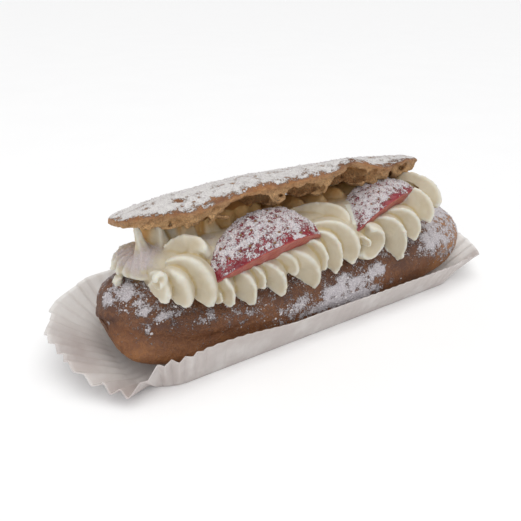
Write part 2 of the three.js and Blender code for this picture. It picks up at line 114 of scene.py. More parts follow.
def cell_noise(points, size, seed):
    """Distances to the nearest and the second nearest of many scattered centres, in cells."""
    place = points / size
    cell = np.floor(place).astype(np.int64)
    nearest = np.full(len(points), 9.0)
    second = np.full(len(points), 9.0)
    for step in np.ndindex(3, 3, 3):
        other = cell + np.array(step) - 1
        centre = other + np.stack([lattice_numbers(other, seed + axis) for axis in range(3)], -1)
        distance = np.linalg.norm(place - centre, axis=-1)
        second = np.minimum(second, np.maximum(nearest, distance))
        nearest = np.minimum(nearest, distance)
    return nearest, second


def reach_of(points, centre, reach):
    """1 at a centre, fading to 0 over a reach in x, y and z."""
    return np.exp(-(((points - np.array(centre)) / np.array(reach)) ** 2).sum(1))


print("noise at the origin:", soft_noise(np.zeros((1, 3)), 5.0, 1).round(3))

# %% [markdown]
# ## From points to pieces
# A piece starts as an array of points and a list of faces. The helpers below turn that into a Blender
# object in metres, read its points back in millimetres, move them along their normals for relief, and
# store a number at every point that a material can read later, such as how much sugar lies there.


# %% Mesh helpers
def new_piece(name, points, faces):
    mesh = bpy.data.meshes.new(name)
    mesh.from_pydata((np.asarray(points) * MILLIMETRE).tolist(), [], faces)
    mesh.update()
    piece = bpy.data.objects.new(name, mesh)
    bpy.context.scene.collection.objects.link(piece)
    return piece


def points_of(piece):
    flat = np.empty(3 * len(piece.data.vertices), np.float32)
    piece.data.vertices.foreach_get("co", flat)
    return flat.reshape(-1, 3).astype(float) / MILLIMETRE


def normals_of(piece):
    flat = np.empty(3 * len(piece.data.vertices), np.float32)
    piece.data.vertex_normals.foreach_get("vector", flat)
    return flat.reshape(-1, 3).astype(float)


def move_points(piece, points):
    piece.data.vertices.foreach_set("co", (points * MILLIMETRE).astype(np.float32).ravel())
    piece.data.update()


def raise_skin(piece, heights):
    move_points(piece, points_of(piece) + normals_of(piece) * np.asarray(heights)[:, None])


def store(piece, name, values):
    layer = piece.data.attributes.get(name) or piece.data.attributes.new(name, "FLOAT", "POINT")
    layer.data.foreach_set("value", np.asarray(values, np.float32))


def smooth_shaded(piece):
    piece.data.shade_smooth()
    return piece


def give_finish(piece, finish):
    piece.data.materials.clear()
    piece.data.materials.append(finish)


def triangles_of(piece):
    return sum(len(face.vertices) - 2 for face in piece.data.polygons)


print("a piece is stored in metres: 1 mm is", MILLIMETRE)


# %% A rounded body laid along X
def ring(around):
    """How far to the back and how far up a place round a body lies, each from -1 to 1."""
    return np.sin(2 * np.pi * around), -np.cos(2 * np.pi * around)


def rounded_body(name, around_steps, along_steps, skin):
    """A closed skin: skin(around, along) gives points in mm. around runs from the underside by the back,
    the top and the front; along runs from the right end to the left end."""
    around = np.arange(around_steps) / around_steps
    along = np.arange(1, along_steps) / along_steps
    grid_around, grid_along = np.meshgrid(around, along)
    rows = skin(grid_around.ravel(), grid_along.ravel())
    ends = skin(np.zeros(2), np.array([0.0, 1.0]))
    points = np.vstack([rows, ends])
    index = np.arange(len(rows)).reshape(along_steps - 1, around_steps)
    beside = np.roll(index, -1, axis=1)
    quads = np.stack([index[:-1], index[1:], beside[1:], beside[:-1]], -1).reshape(-1, 4)
    right, left = len(rows), len(rows) + 1
    faces = quads.tolist()
    for here, there in zip(index[0], beside[0]):
        faces.append([right, int(here), int(there)])
    for here, there in zip(index[-1], beside[-1]):
        faces.append([left, int(there), int(here)])
    return new_piece(name, points, faces)


print("a quarter of the way round lies", np.round(ring(0.25), 3), "to the back and up")


# %% Joining, remeshing and cutting
SOFTENING = 0.5


def replace_mesh(piece):
    """Applies a piece's modifiers, so that what they made is its own mesh."""
    ready = piece.evaluated_get(bpy.context.evaluated_depsgraph_get())
    made = bpy.data.meshes.new_from_object(ready)
    spent = piece.data
    piece.modifiers.clear()
    piece.data = made
    bpy.data.meshes.remove(spent)
    return piece


def joined(name, pieces):
    """One object of several, which are used up."""
    points, faces, start = [], [], 0
    for piece in pieces:
        points.append(points_of(piece))
        faces.extend([[start + v for v in face.vertices] for face in piece.data.polygons])
        start += len(piece.data.vertices)
        bpy.data.objects.remove(piece)
    return new_piece(name, np.vstack(points), faces)


def remeshed(piece, voxel):
    """One even skin round everything in the piece, made of small squares."""
    change = piece.modifiers.new("remesh", "REMESH")
    change.mode = "VOXEL"
    change.voxel_size = voxel * MILLIMETRE
    return replace_mesh(piece)


def cut_away(piece, cutter):
    """Takes the cutter's room out of a piece; the cutter is used up."""
    change = piece.modifiers.new("cut", "BOOLEAN")
    change.operation = "DIFFERENCE"
    change.solver = "MANIFOLD"
    change.object = cutter
    replace_mesh(piece)
    bpy.data.objects.remove(cutter)
    return piece


def softened(piece, rounds):
    change = piece.modifiers.new("soften", "SMOOTH")
    change.factor = SOFTENING
    change.iterations = rounds
    return replace_mesh(piece)


def largest_part(piece):
    """Drops the bits that a cut leaves loose or shut in."""
    shape = bmesh.new()
    shape.from_mesh(piece.data)
    left = set(shape.verts)
    parts = []
    while left:
        front = [left.pop()]
        part = list(front)
        while front:
            for edge in front.pop().link_edges:
                for vertex in edge.verts:
                    if vertex in left:
                        left.remove(vertex)
                        front.append(vertex)
                        part.append(vertex)
        parts.append(part)
    parts.sort(key=len)
    for part in parts[:-1]:
        bmesh.ops.delete(shape, geom=part, context="VERTS")
    shape.to_mesh(piece.data)
    shape.free()
    return piece


print("pieces can be joined, remeshed, cut and softened")

# %% [markdown]
# ## Materials from nodes
# Every finish is a Principled shader fed by noise and by the numbers stored at the points. These helpers
# keep the node code short: add_node makes a node and fills its sockets, and the rest name common small
# jobs.


# %% Nodes and sockets
def new_finish(name):
    finish = bpy.data.materials.new(name)
    finish.use_nodes = True
    return finish, finish.node_tree, finish.node_tree.nodes["Principled BSDF"]


def add_node(tree, kind, settings=(), **sockets):
    made = tree.nodes.new(kind)
    for key, value in dict(settings).items():
        setattr(made, key, value)
    for key, value in sockets.items():
        fill(tree, made.inputs[key.replace("_", " ")], value)
    return made


def fill(tree, socket, value):
    if isinstance(value, bpy.types.NodeSocket):
        tree.links.new(value, socket)
    else:
        socket.default_value = value


def place_of(tree):
    return add_node(tree, "ShaderNodeTexCoord").outputs["Object"]


def stored(tree, name):
    return add_node(tree, "ShaderNodeAttribute", {"attribute_name": name}).outputs["Fac"]


print("a finish can be started and its nodes filled")


# %% Noise, mixing and bump in nodes
def grain(tree, place, size, detail=3.0, roughness=0.55):
    """Noise from 0 to 1 with lumps about size millimetres across."""
    sockets = {"Vector": place, "Scale": 1 / (size * MILLIMETRE), "Detail": detail, "Roughness": roughness}
    return add_node(tree, "ShaderNodeTexNoise", **sockets).outputs["Fac"]


def eased(tree, value, low, high, first=0.0, last=1.0):
    """A number eased from first to last while value runs from low to high."""
    limits = {"From_Min": low, "From_Max": high, "To_Min": first, "To_Max": last}
    made = add_node(tree, "ShaderNodeMapRange", {"interpolation_type": "SMOOTHSTEP"}, Value=value, **limits)
    return made.outputs["Result"]


def worked(tree, operation, first, second=0.0):
    made = add_node(tree, "ShaderNodeMath", {"operation": operation})
    fill(tree, made.inputs[0], first)
    fill(tree, made.inputs[1], second)
    return made.outputs[0]


def blended(tree, share, first, second):
    """A colour between two colours."""
    made = add_node(tree, "ShaderNodeMix", {"data_type": "RGBA"})
    fill(tree, made.inputs[0], share)
    fill(tree, made.inputs[6], first)
    fill(tree, made.inputs[7], second)
    return made.outputs[2]


def bumped(tree, height, depth, before=None):
    """A normal that follows height, depth millimetres deep."""
    made = add_node(tree, "ShaderNodeBump", Strength=1.0, Distance=depth * MILLIMETRE, Height=height)
    if before is not None:
        tree.links.new(before, made.inputs["Normal"])
    return made.outputs["Normal"]


print("noise, mixing and bump are ready")


# %% Colours, and light inside a surface
def shade(red, green, blue):
    """A colour as it is read off a screen, from 0 to 255, as the linear colour that shaders use."""
    parts = [v / 255 for v in (red, green, blue)]
    return [v / 12.92 if v <= 0.04045 else ((v + 0.055) / 1.055) ** 2.4 for v in parts] + [1.0]


def let_light_in(shader, share, reach):
    """Light goes into the surface: how much of it, and how many mm its red, green and blue go."""
    shader.inputs["Subsurface Weight"].default_value = share
    shader.inputs["Subsurface Radius"].default_value = [v * MILLIMETRE for v in reach]
    shader.inputs["Subsurface Scale"].default_value = 1.0


print("mid grey is", [round(v, 3) for v in shade(128, 128, 128)])

# %% [markdown]
# ## Icing sugar as a finish
# Sifted sugar is thickest where a surface faces up and thins out to single grains where it turns away.
# Each piece stores how thick it lies; the finish breaks that number up with fine noise, so that a thin
# dusting becomes separate white grains with crust between them. Grains that stand up are made as real
# mesh later.

# %% Sugar over another finish
# each pair is sugar in painted shade, then lit sugar; fine specks mix the two
THICK_SUGAR = (shade(214, 209, 206), shade(235, 232, 229))
BERRY_SUGAR = (shade(190, 178, 184), shade(226, 221, 220))
THIN_VEIL = (shade(196, 184, 180), shade(206, 195, 192))
# the bun's sugar is greyer: a thin layer over brown crust, and painted shade
THIN_SUGAR_AND_PAINTED_SHADE = (shade(184, 176, 180), shade(210, 205, 208))
SUGAR_CONTRAST = 1.2
VEIL_CONTRAST = 0.35
SUGAR_GRAIN = 0.45
SUGAR_CLUMP = 2.0
SUGAR_SPECK = 0.35
SUGAR_ROUGHNESS = 0.9
SUGAR_DEPTH = 0.3


def sugar_cover(tree, place, contrast):
    """How white the surface is, from 0 to 1. contrast says how grainy a thin dusting looks."""
    fine = worked(tree, "MULTIPLY", grain(tree, place, SUGAR_GRAIN, 4.0, 0.7), 1.6)
    clumped = worked(tree, "MULTIPLY", grain(tree, place, SUGAR_CLUMP, 4.0, 0.6), 0.8)
    mottle = worked(tree, "SUBTRACT", worked(tree, "ADD", fine, clumped), 1.2)
    level = worked(tree, "ADD", stored(tree, "sugar"), worked(tree, "MULTIPLY", mottle, contrast))
    return eased(tree, level, 0.28, 0.58)


def dusted(tree, shader, place, colour, roughness, relief, shaded_and_lit_sugar, contrast=SUGAR_CONTRAST):
    """Fills a shader with a finish and the sugar on it. relief is a height and its depth in mm."""
    cover = sugar_cover(tree, place, contrast)
    speck = grain(tree, place, SUGAR_SPECK, 2.0)
    # painted shade: some fine specks of sugar take the shaded colour of the pair
    white = blended(tree, eased(tree, speck, 0.35, 0.65), *shaded_and_lit_sugar)
    fill(tree, shader.inputs["Base Color"], blended(tree, cover, colour, white))
    dry = worked(tree, "MULTIPLY", cover, SUGAR_ROUGHNESS)
    fill(tree, shader.inputs["Roughness"], worked(tree, "MAXIMUM", dry, roughness))
    grains = worked(tree, "MULTIPLY", cover, speck)
    fill(tree, shader.inputs["Normal"], bumped(tree, grains, SUGAR_DEPTH, bumped(tree, *relief)))


print("sugar breaks up into grains of", SUGAR_GRAIN, "mm and clumps of", SUGAR_CLUMP, "mm")

# %% [markdown]
# ## Paper case
# The case is one sheet of greaseproof paper pressed into pleats. It stands free and flares at both ends,
# and along the bun its pleats are pressed nearly flat. A cloth simulation could drape a sheet, but
# pressed pleats are regular folds with small faults, so the wall is built by formula: an outline, a rim
# that leans out and rises by a different amount at each place round it, and a zigzag that grows towards
# the rim.

# %% Case sizes
PAPER = 0.22
FLOOR = {"length": 132.0, "width": 48.4, "corner": 15.0}
PLEATS = 108
PLEAT_DEPTH = 1.05
PRESSED_PLEAT = 0.05
PLEAT_SHARPNESS = 0.75
FAULTS = {"uneven": 0.35, "creased": 0.12, "torn": 0.35, "crumpled": 0.15, "crumpled_if_free": 0.45}
STEPS_A_PLEAT = 12
WALL_RINGS = 15
FLOOR_RINGS = (0.3, 0.75, 0.93)
RIM = [
    # bearing on a square floor, lean outwards, height, freedom of the pleats
    ("right end", 0, 16.4, 8.0, 0.6),
    ("back right corner", 43, 7.0, 10.0, 0.8),
    ("back right shoulder", 54, 4.2, 11.0, 0.3),
    ("back", 90, 3.8, 12.5, 0.0),
    ("back left shoulder", 128, 4.5, 13.0, 0.2),
    ("back left corner", 140, 8.0, 13.3, 0.4),
    ("left end, towards the back", 158, 14.0, 13.6, 0.55),
    ("left end", 178, 17.3, 13.0, 0.5),
    ("left end, towards the front", 198, 14.8, 8.7, 0.8),
    ("front left corner", 219, 9.7, 4.0, 1.0),
    ("front left shoulder", 228, 3.7, 11.3, 0.9),
    ("front left quarter", 237, 3.6, 12.4, 0.08),
    ("front", 258, 3.8, 10.2, 0.0),
    ("front right quarter", 310, 4.6, 10.5, 0.1),
    ("front right corner", 322, 10.0, 9.0, 0.4),
    ("right end again", 360, 16.4, 8.0, 0.6),
]
print("the case has", PLEATS, "pleats")


# %% Case outline and rim
def floor_outline(shares):
    """Points and outward directions along the floor's edge, from the middle of the right end."""
    half = np.array([FLOOR["length"], FLOOR["width"]]) / 2
    path = [np.array([[half[0], 0.0]])]
    for quarter, sides in enumerate([(1, 1), (-1, 1), (-1, -1), (1, -1)]):
        angle = np.radians(90 * quarter + np.linspace(0, 90, 31))
        centre = (half - FLOOR["corner"]) * np.array(sides)
        path.append(centre + FLOOR["corner"] * np.stack([np.cos(angle), np.sin(angle)], -1))
    path.append(path[0])
    path = np.vstack(path)
    length = np.concatenate([[0], np.cumsum(np.linalg.norm(np.diff(path, axis=0), axis=1))])

    def at(share):
        return np.stack([np.interp(share % 1 * length[-1], length, path[:, axis]) for axis in (0, 1)], -1)

    ahead = at(shares + 0.002) - at(shares - 0.002)
    outward = np.stack([ahead[:, 1], -ahead[:, 0]], -1)
    return at(shares), outward / np.linalg.norm(outward, axis=1)[:, None]


def rim_towards(bearing):
    """Lean, height and freedom, eased from one named place to the next."""
    stations = np.array([place[1:] for place in RIM], float)
    after = np.clip(np.searchsorted(stations[:, 0], bearing, side="right"), 1, len(RIM) - 1)
    first, second = stations[after - 1], stations[after]
    ease = smoothstep(bearing, first[:, 0], second[:, 0])[:, None]
    return (first[:, 1:] + (second[:, 1:] - first[:, 1:]) * ease).T


print("lean, height and freedom in front:", rim_towards(np.array([270.0])).ravel().round(2))


# %% Case mesh
def paper_sheet(wall, inside, shares):
    """One ring of the case: wall is 0 at the floor's edge and 1 at the rim."""
    edge, outward = floor_outline(shares)
    square = np.degrees(np.arctan2(edge[:, 1] / FLOOR["width"], edge[:, 0] / FLOOR["length"])) % 360
    lean, height, free = rim_towards(square)
    slope = np.hypot(lean, height)
    folds = shares * 2 * PLEATS
    which = np.floor(folds / 2)
    fault = np.stack([which, 0 * which, 0 * which], -1)
    zigzag = 1 - 2 * np.abs(folds % 2 - 1)
    fold = PLEAT_SHARPNESS * zigzag + (1 - PLEAT_SHARPNESS) * np.sin(np.pi / 2 * zigzag)
    uneven = 1 + FAULTS["uneven"] * soft_noise(fault, 1.9, 5)
    fine = FAULTS["creased"] * free * (1 - 2 * np.abs(2 * folds % 2 - 1)) * (1 - wall**3)
    crest = fold * uneven * (PRESSED_PLEAT + (PLEAT_DEPTH - PRESSED_PLEAT) * free) + fine
    grown = smoothstep(wall, -0.6, 1.0)
    torn = FAULTS["torn"] * free * soft_noise(fault, 0.7, 6) * wall**4
    spot = np.column_stack([edge, np.full(len(edge), 30 * wall)])
    crumple = (FAULTS["crumpled"] + FAULTS["crumpled_if_free"] * free) * soft_noise(spot, 9.0, 7) * wall
    out = lean * wall - inside * PAPER * height / slope + (crest * grown + crumple) * height / slope
    rise = (height + torn) * wall - (crest * grown + crumple) * lean / slope
    lift = inside * PAPER * lean / slope
    if wall == 0:
        out = -inside * PAPER + 0 * out
        lift = inside * PAPER + 0 * lift
        rise = 0 * rise
    flat = edge + outward * out[:, None]
    return np.column_stack([flat, np.maximum(0, rise) + lift])


def build_paper_case():
    steps = PLEATS * STEPS_A_PLEAT
    shares = np.arange(steps) / steps
    walls = np.linspace(0, 1, WALL_RINGS)
    outer_edge, inner_edge = (paper_sheet(0.0, inside, shares) for inside in (0.0, 1.0))
    rings = [outer_edge * np.array([shrink, shrink, 1]) for shrink in FLOOR_RINGS]
    rings += [paper_sheet(wall, 0.0, shares) for wall in walls]
    rings += [paper_sheet(wall, 1.0, shares) for wall in walls[::-1]]
    rings += [inner_edge * np.array([shrink, shrink, 1]) for shrink in FLOOR_RINGS[::-1]]
    points = np.vstack(rings)
    index = np.arange(len(points)).reshape(len(rings), steps)
    beside = np.roll(index, -1, axis=1)
    faces = np.stack([index[:-1], beside[:-1], beside[1:], index[1:]], -1).reshape(-1, 4).tolist()
    faces.append(index[0][::-1].tolist())
    faces.append(index[-1].tolist())
    return new_piece("pleated_paper_case", points, faces)


paper_case = build_paper_case()
smooth_shaded(paper_case)
print("paper case:", triangles_of(paper_case), "triangles")

# %% [markdown]
# Greaseproof paper is off-white, smooth and a little shiny, with faint fibres. Shade is painted onto it:
# the paper turns a darker pinkish grey at the front left corner, at the left end by the bun's foot, and
# along the front. The folds themselves are in the mesh, so the finish adds only the fibres and the painted
# shade.

# %% Paper finish
# painted shade: the paper is darkened in these patches and along the front
PAINTED_SHADE_PATCHES = [
    # where, its middle, how far it reaches, how dark the painted shade is
    ("near corner", (-66.0, -24.0, 3.0), (16.0, 12.0, 9.0), 1.0),
    ("left end", (-76.0, -4.0, 8.0), (14.0, 13.0, 10.0), 0.95),
]
PAINTED_SHADE_IN_FRONT = {"from": 18.0, "to": 24.0, "darkness": 0.7}
PAPER_TONES = (shade(230, 227, 223), shade(220, 216, 212))
PAPER_IN_PAINTED_SHADE = shade(174, 162, 158)
PAPER_CLOUD = 9.0
PAPER_FIBRE = {"size": 0.6, "depth": 0.05}
PAPER_LIGHT = (0.5, (1.0, 1.0, 1.0))


def paper_finish():
    finish, tree, shader = new_finish("greaseproof_paper")
    place = place_of(tree)
    cloud = grain(tree, place, PAPER_CLOUD, 3.0)
    fibre = grain(tree, place, PAPER_FIBRE["size"], 4.0, 0.7)
    colour = blended(tree, eased(tree, cloud, 0.35, 0.7), *PAPER_TONES)
    # painted shade: the paper darkens to a pinkish grey where the stored shade lies
    painted_paper_shade = worked(tree, "MULTIPLY", stored(tree, "painted_paper_shade"), eased(tree, cloud, 0.2, 0.6, 0.6, 1.0))
    colour = blended(tree, painted_paper_shade, colour, PAPER_IN_PAINTED_SHADE)
    fill(tree, shader.inputs["Base Color"], colour)
    fill(tree, shader.inputs["Roughness"], eased(tree, cloud, 0.3, 0.7, 0.5, 0.7))
    fill(tree, shader.inputs["Normal"], bumped(tree, fibre, PAPER_FIBRE["depth"]))
    let_light_in(shader, *PAPER_LIGHT)
    return finish


def paint_shade_on_paper(piece):
    points = points_of(piece)
    # painted shade: strongest along the front and in the listed patches
    painted_paper_shade = PAINTED_SHADE_IN_FRONT["darkness"] * smoothstep(-points[:, 1], PAINTED_SHADE_IN_FRONT["from"], PAINTED_SHADE_IN_FRONT["to"])
    for _, middle, reach, darkness in PAINTED_SHADE_PATCHES:
        painted_paper_shade = np.maximum(painted_paper_shade, darkness * reach_of(points, middle, reach))
    store(piece, "painted_paper_shade", np.clip(painted_paper_shade, 0, 1))


paint_shade_on_paper(paper_case)
give_finish(paper_case, paper_finish())
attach(paper_case, "root")
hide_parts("paper_case")
print("paper case replaces its solid")

# %% [markdown]
# ## Choux bun
# The bun was piped as a thick line of batter, and swelled in the oven until its skin stretched and set.
# Its left end keeps the little nose where the piping bag was pulled away. The shape is the same formula
# as the solid's, on a much finer sheet of points, and noise along the normals adds the lumps, the
# stretched skin's shallow creases and its fine grain. Sculpting by hand could do this too, but a formula
# gives the same bun twice.

# %% Bun sizes
BUN = {"left": -67.3, "right": 75.0, "half_width": 25.9, "belly": 11.5, "crown": 27.5, "tail": 2.9}
BUN_FOOT = 0.8
BUN_ENDS = {
    # how square the right end and the left end are
    "dome": (3.0, 3.5),
    "keel": (3.2, 4.5),
    "plan": (2.8, 2.7),
}
NOSE = {"x": -68.0, "y": -2.0, "z": 15.0, "slant": -0.3, "along": 6.0, "across": 7.0}
LIP = {"out": 1.7, "above": 2.4, "below": 1.0}
CUT = {"height": 23.2, "fall": 0.03, "left": -59.0, "right": 51.0, "run_out": 7.0}
print("bun length:", BUN["right"] - BUN["left"], "mm")


# %% Bun skin
def cut_height(x):
    past = smoothstep(x, CUT["right"], CUT["right"] + CUT["run_out"])
    past = past + smoothstep(-x, -CUT["left"], -CUT["left"] + CUT["run_out"])
    return CUT["height"] - CUT["fall"] * x + CUT["run_out"] * past


def bun_skin(around, along, grow=0.0):
    """The bun's outer skin, or one that lies grow mm outside it."""
    share = np.cos(np.pi * along)
    side, up = ring(around)
    belly = BUN["belly"] + BUN["tail"] * smoothstep(-share, 0.55, 1.0)
    dome = (BUN["crown"] - belly + grow) * rounded_end(share, np.where(share > 0, *BUN_ENDS["dome"]))
    keel = (belly - BUN_FOOT + grow) * rounded_end(share, np.where(share > 0, *BUN_ENDS["keel"]))
    lumps = 0.012 * np.sin(9 * share + 5 * side) + 0.01 * np.sin(17 * share - 3 * up)
    right, left = BUN_ENDS["plan"]
    squareness = np.where(share > 0, right, np.where(up > 0, left, left - 3.9 * up))
    width = (BUN["half_width"] + grow) * rounded_end(share, squareness)
    width = width * (1 + lumps * smoothstep(up, -0.4, 0.4))
    middle = (BUN["left"] + BUN["right"]) / 2
    half = (BUN["right"] - BUN["left"]) / 2 + grow
    x = middle + half * share
    y = width * np.where(up > 0, side, power(side, 0.65))
    z = belly + np.where(up > 0, dome * up, keel * power(up, 0.6))
    return np.stack([x, y, np.minimum(z, cut_height(x) + grow)], -1)


print("the cut lies", cut_height(0.0), "mm up in the middle")


# %% Bun relief
BUN_RELIEF = [
    # what it is, its height, the size of its lumps, seed, layers
    ("swelling", 0.45, 16.0, 11, 3),
    ("skin", 0.13, 3.2, 14, 3),
    ("grain", 0.09, 1.3, 15, 2),
]
CREASE = {"depth": 0.22, "width": 0.22, "apart": 7.0, "patch": 14.0}
BUN_SET_BACK = 0.12
BUN_STEPS = (300, 290)


def nose_fold(points):
    """At the left end the upper crust stands out in a lip that rises to the front."""
    over = points[:, 2] - NOSE["z"] - NOSE["slant"] * points[:, 1]
    fold = LIP["out"] * np.exp(-((over / np.where(over > 0, LIP["above"], LIP["below"])) ** 2))
    along = ((points[:, 0] - NOSE["x"]) / NOSE["along"]) ** 2
    across = ((points[:, 1] - NOSE["y"]) / NOSE["across"]) ** 2
    return fold * np.exp(-along - across)


def build_bun():
    bun = rounded_body("choux_bun_crust", *BUN_STEPS, bun_skin)
    points = points_of(bun)
    off_paper = smoothstep(points[:, 2], 2.0, 7.0)
    relief = sum(height * rough_noise(points, *lumps) for _, height, *lumps in BUN_RELIEF)
    near, second = cell_noise(points * np.array([0.5, 1, 1]), CREASE["apart"], 17)
    line = 1 - smoothstep(second - near, 0.0, CREASE["width"])
    crease = -CREASE["depth"] * line * smoothstep(soft_noise(points, CREASE["patch"], 21), -0.1, 0.5)
    raise_skin(bun, off_paper * (relief + crease + nose_fold(points)) - BUN_SET_BACK)
    return bun


bun = build_bun()
smooth_shaded(bun)
print("bun:", triangles_of(bun), "triangles")

# %% [markdown]
# Choux crust browns most where it faces the oven's heat and stays golden near the tray. One stored
# number says how dark each point is baked; the finish turns it into colour, with pores and a satin skin.
# The sifted sugar fell from above past the cap, so it lies on the ends and the front shoulder, in
# patches.

# %% Bun bake and sugar
SUGAR_PATCHES = [
    # where it is, its middle, how far it reaches, how thick it lies
    ("left end, top", (-60.6, -4.5, 23.0), (6.0, 5.0, 3.4), 0.78),
    ("left end, over the nose", (-65.0, -2.6, 21.0), (3.6, 4.4, 3.0), 0.7),
    ("left shoulder", (-58.4, -11.0, 21.6), (3.2, 3.0, 2.4), 0.68),
    ("below that shoulder", (-58.6, -13.0, 20.2), (3.0, 2.4, 1.8), 0.68),
    ("a streak on the side", (-58.8, -16.2, 15.4), (1.0, 1.6, 2.2), 0.7),
    ("under the nose", (-66.9, -5.0, 14.9), (1.2, 1.4, 1.0), 0.7),
    ("left front", (-54.0, -17.0, 18.6), (5.0, 2.2, 1.6), 0.66),
    ("front, under the first petals", (-43.5, -21.5, 18.0), (4.0, 3.0, 2.2), 0.75),
    ("front, left of the middle", (-31.0, -24.0, 15.5), (9.0, 4.0, 4.0), 0.32),
    ("front, middle", (-15.0, -25.0, 14.0), (8.0, 4.0, 4.0), 0.38),
    ("front, right of the middle", (4.0, -25.4, 14.8), (13.0, 4.0, 3.8), 0.92),
    ("front, along the paper", (3.0, -26.0, 10.4), (22.0, 3.0, 2.6), 1.0),
    ("front right quarter", (17.0, -24.5, 16.5), (8.0, 4.0, 2.4), 0.8),
    ("right end, front", (48.0, -18.0, 18.5), (15.0, 8.0, 7.0), 0.82),
    ("right end, top", (60.0, -6.0, 20.0), (15.0, 13.0, 9.0), 0.84),
    ("right end, back", (58.0, 10.0, 22.0), (11.0, 10.0, 6.0), 0.6),
    ("back shoulder", (0.0, 23.0, 17.5), (50.0, 6.0, 4.0), 0.45),
]
BARE_SPOTS = [
    ("nose", (-67.0, -5.0, 17.2), (3.4, 4.6, 1.3)),
    ("front right", (27.0, -23.5, 15.0), (4.0, 3.0, 3.0)),
]
DARK_LIP = ((-67.0, -3.5, 16.4), (3.0, 5.0, 1.3))
CRUMB_SHOWS = (-58.0, 44.0)
BUN_DUST = {"least": 0.05, "facing_up": 0.16, "right_end": 0.38, "bare": 0.6}
BUN_DUST_BREAKS = [
    # strength, size of the lumps, seed, layers
    (0.3, 5.0, 31, 4),
    (0.6, 2.2, 34, 3),
]
BUN_BAKE = {"foot": 0.4, "top": 0.42, "patches": 0.3, "under_lip": 0.12, "right_end": 0.9, "lip": 0.3}


def dust_bun(piece):
    points, normals = points_of(piece), normals_of(piece)
    right_end = smoothstep(points[:, 0], 35.0, 55.0)
    thick = BUN_DUST["least"] + BUN_DUST["facing_up"] * smoothstep(normals[:, 2], -0.1, 0.7)
    thick = thick + BUN_DUST["right_end"] * right_end
    thick = thick * smoothstep(points[:, 2] + 4 * right_end, 8.0, 18.0)
    for _, centre, reach, amount in SUGAR_PATCHES:
        thick = np.maximum(thick, amount * reach_of(points, centre, reach))
    ragged = sum(strength * rough_noise(points, *lumps) for strength, *lumps in BUN_DUST_BREAKS)
    thick = thick + ragged * smoothstep(thick, 0.05, 0.4)
    for _, centre, reach in BARE_SPOTS:
        thick = thick - BUN_DUST["bare"] * reach_of(points, centre, reach)
    thick = np.clip(thick * smoothstep(normals[:, 2], -0.6, -0.1), 0, 1)
    store(piece, "sugar", thick)
    return thick


def bake_bun(piece):
    """Darker towards the top and on the lip, paler under the lip and at the right end."""
    points = points_of(piece)
    x, y, z = points.T
    baked = BUN_BAKE["foot"] + BUN_BAKE["top"] * smoothstep(z, 6.0, 18.0)
    baked = baked + BUN_BAKE["patches"] * rough_noise(points, 16.0, 41, 4)
    under_lip = smoothstep(-x, 56.0, 66.0) * (1 - smoothstep(z - NOSE["slant"] * y, 12.5, 15.0))
    baked = baked - BUN_BAKE["under_lip"] * under_lip - BUN_BAKE["right_end"] * smoothstep(x, 38.0, 62.0)
    baked = baked + BUN_BAKE["lip"] * reach_of(points, *DARK_LIP)
    store(piece, "baked", np.clip(baked, 0, 1))
    near_cut = smoothstep(z - cut_height(x), -0.9, -0.35)
    store(piece, "crumb", near_cut * (x > CRUMB_SHOWS[0]) * (x < CRUMB_SHOWS[1]))


sugar_on_bun = dust_bun(bun)
bake_bun(bun)
print("share of the bun's points under thick sugar:", round(float((sugar_on_bun > 0.5).mean()), 3))


# %% Bun finish
CRUST_GRAIN = {"mottle": 3.0, "pores": 0.45, "wrinkles": 2.6, "depth": 0.2}
BUN_BROWNS = (shade(172, 116, 66), shade(116, 72, 42), shade(82, 49, 33))
BUN_CRUMB = (214, 172, 122)


def crust_finish(name, pale, middle, dark, crumb, shaded_and_lit_sugar):
    """Crust coloured by its bake, with paler pores and creases, and crumb where it is open."""
    finish, tree, shader = new_finish(name)
    place = place_of(tree)
    baked = stored(tree, "baked")
    mottle = grain(tree, place, CRUST_GRAIN["mottle"], 6.0, 0.65)
    pores = grain(tree, place, CRUST_GRAIN["pores"], 3.0, 0.6)
    uneven = worked(tree, "MULTIPLY", worked(tree, "SUBTRACT", mottle, 0.5), 0.7)
    level = worked(tree, "ADD", baked, uneven)
    brown = blended(tree, eased(tree, level, 0.0, 0.5), pale, middle)
    brown = blended(tree, eased(tree, level, 0.45, 1.0), brown, dark)
    brown = blended(tree, eased(tree, pores, 0.62, 0.8, 0.0, 0.35), brown, pale)
    creased = grain(tree, place, CRUST_GRAIN["wrinkles"], 4.0, 0.6)
    wrinkle = worked(tree, "ABSOLUTE", worked(tree, "SUBTRACT", creased, 0.5))
    brown = blended(tree, eased(tree, wrinkle, 0.0, 0.06, 0.22, 0.0), brown, pale)
    inner = blended(tree, eased(tree, pores, 0.3, 0.7), shade(*crumb), shade(*[0.8 * v for v in crumb]))
    torn = stored(tree, "crumb")
    colour = blended(tree, torn, brown, inner)
    height = worked(tree, "ADD", pores, worked(tree, "MULTIPLY", mottle, 1.5))
    height = worked(tree, "ADD", height, eased(tree, wrinkle, 0.0, 0.06, 0.5, 0.0))
    height = worked(tree, "MULTIPLY", height, eased(tree, torn, 0.0, 1.0, 1.0, 2.5))
    satin = eased(tree, pores, 0.3, 0.7, 0.42, 0.6)
    skin = worked(tree, "MAXIMUM", satin, worked(tree, "MULTIPLY", torn, 0.85))
    dusted(tree, shader, place, colour, skin, (height, CRUST_GRAIN["depth"]), shaded_and_lit_sugar)
    return finish


give_finish(bun, crust_finish("bun_crust", *BUN_BROWNS, BUN_CRUMB, THIN_SUGAR_AND_PAINTED_SHADE))
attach(bun, "root")
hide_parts("choux_bun")
print("bun replaces its solid")

# %% [markdown]
# ## Strawberry wedges
# Each wedge is a slice from a berry's flank: rounded skin on top and two flat knife cuts. A berry's body
# is laid along X, cut by two planes, and remeshed into even squares so that the skin can take dimples.
# Then it is turned to where its solid lies. The skin's seeds sit in dimples, so a dimple and a seed
# share one place.

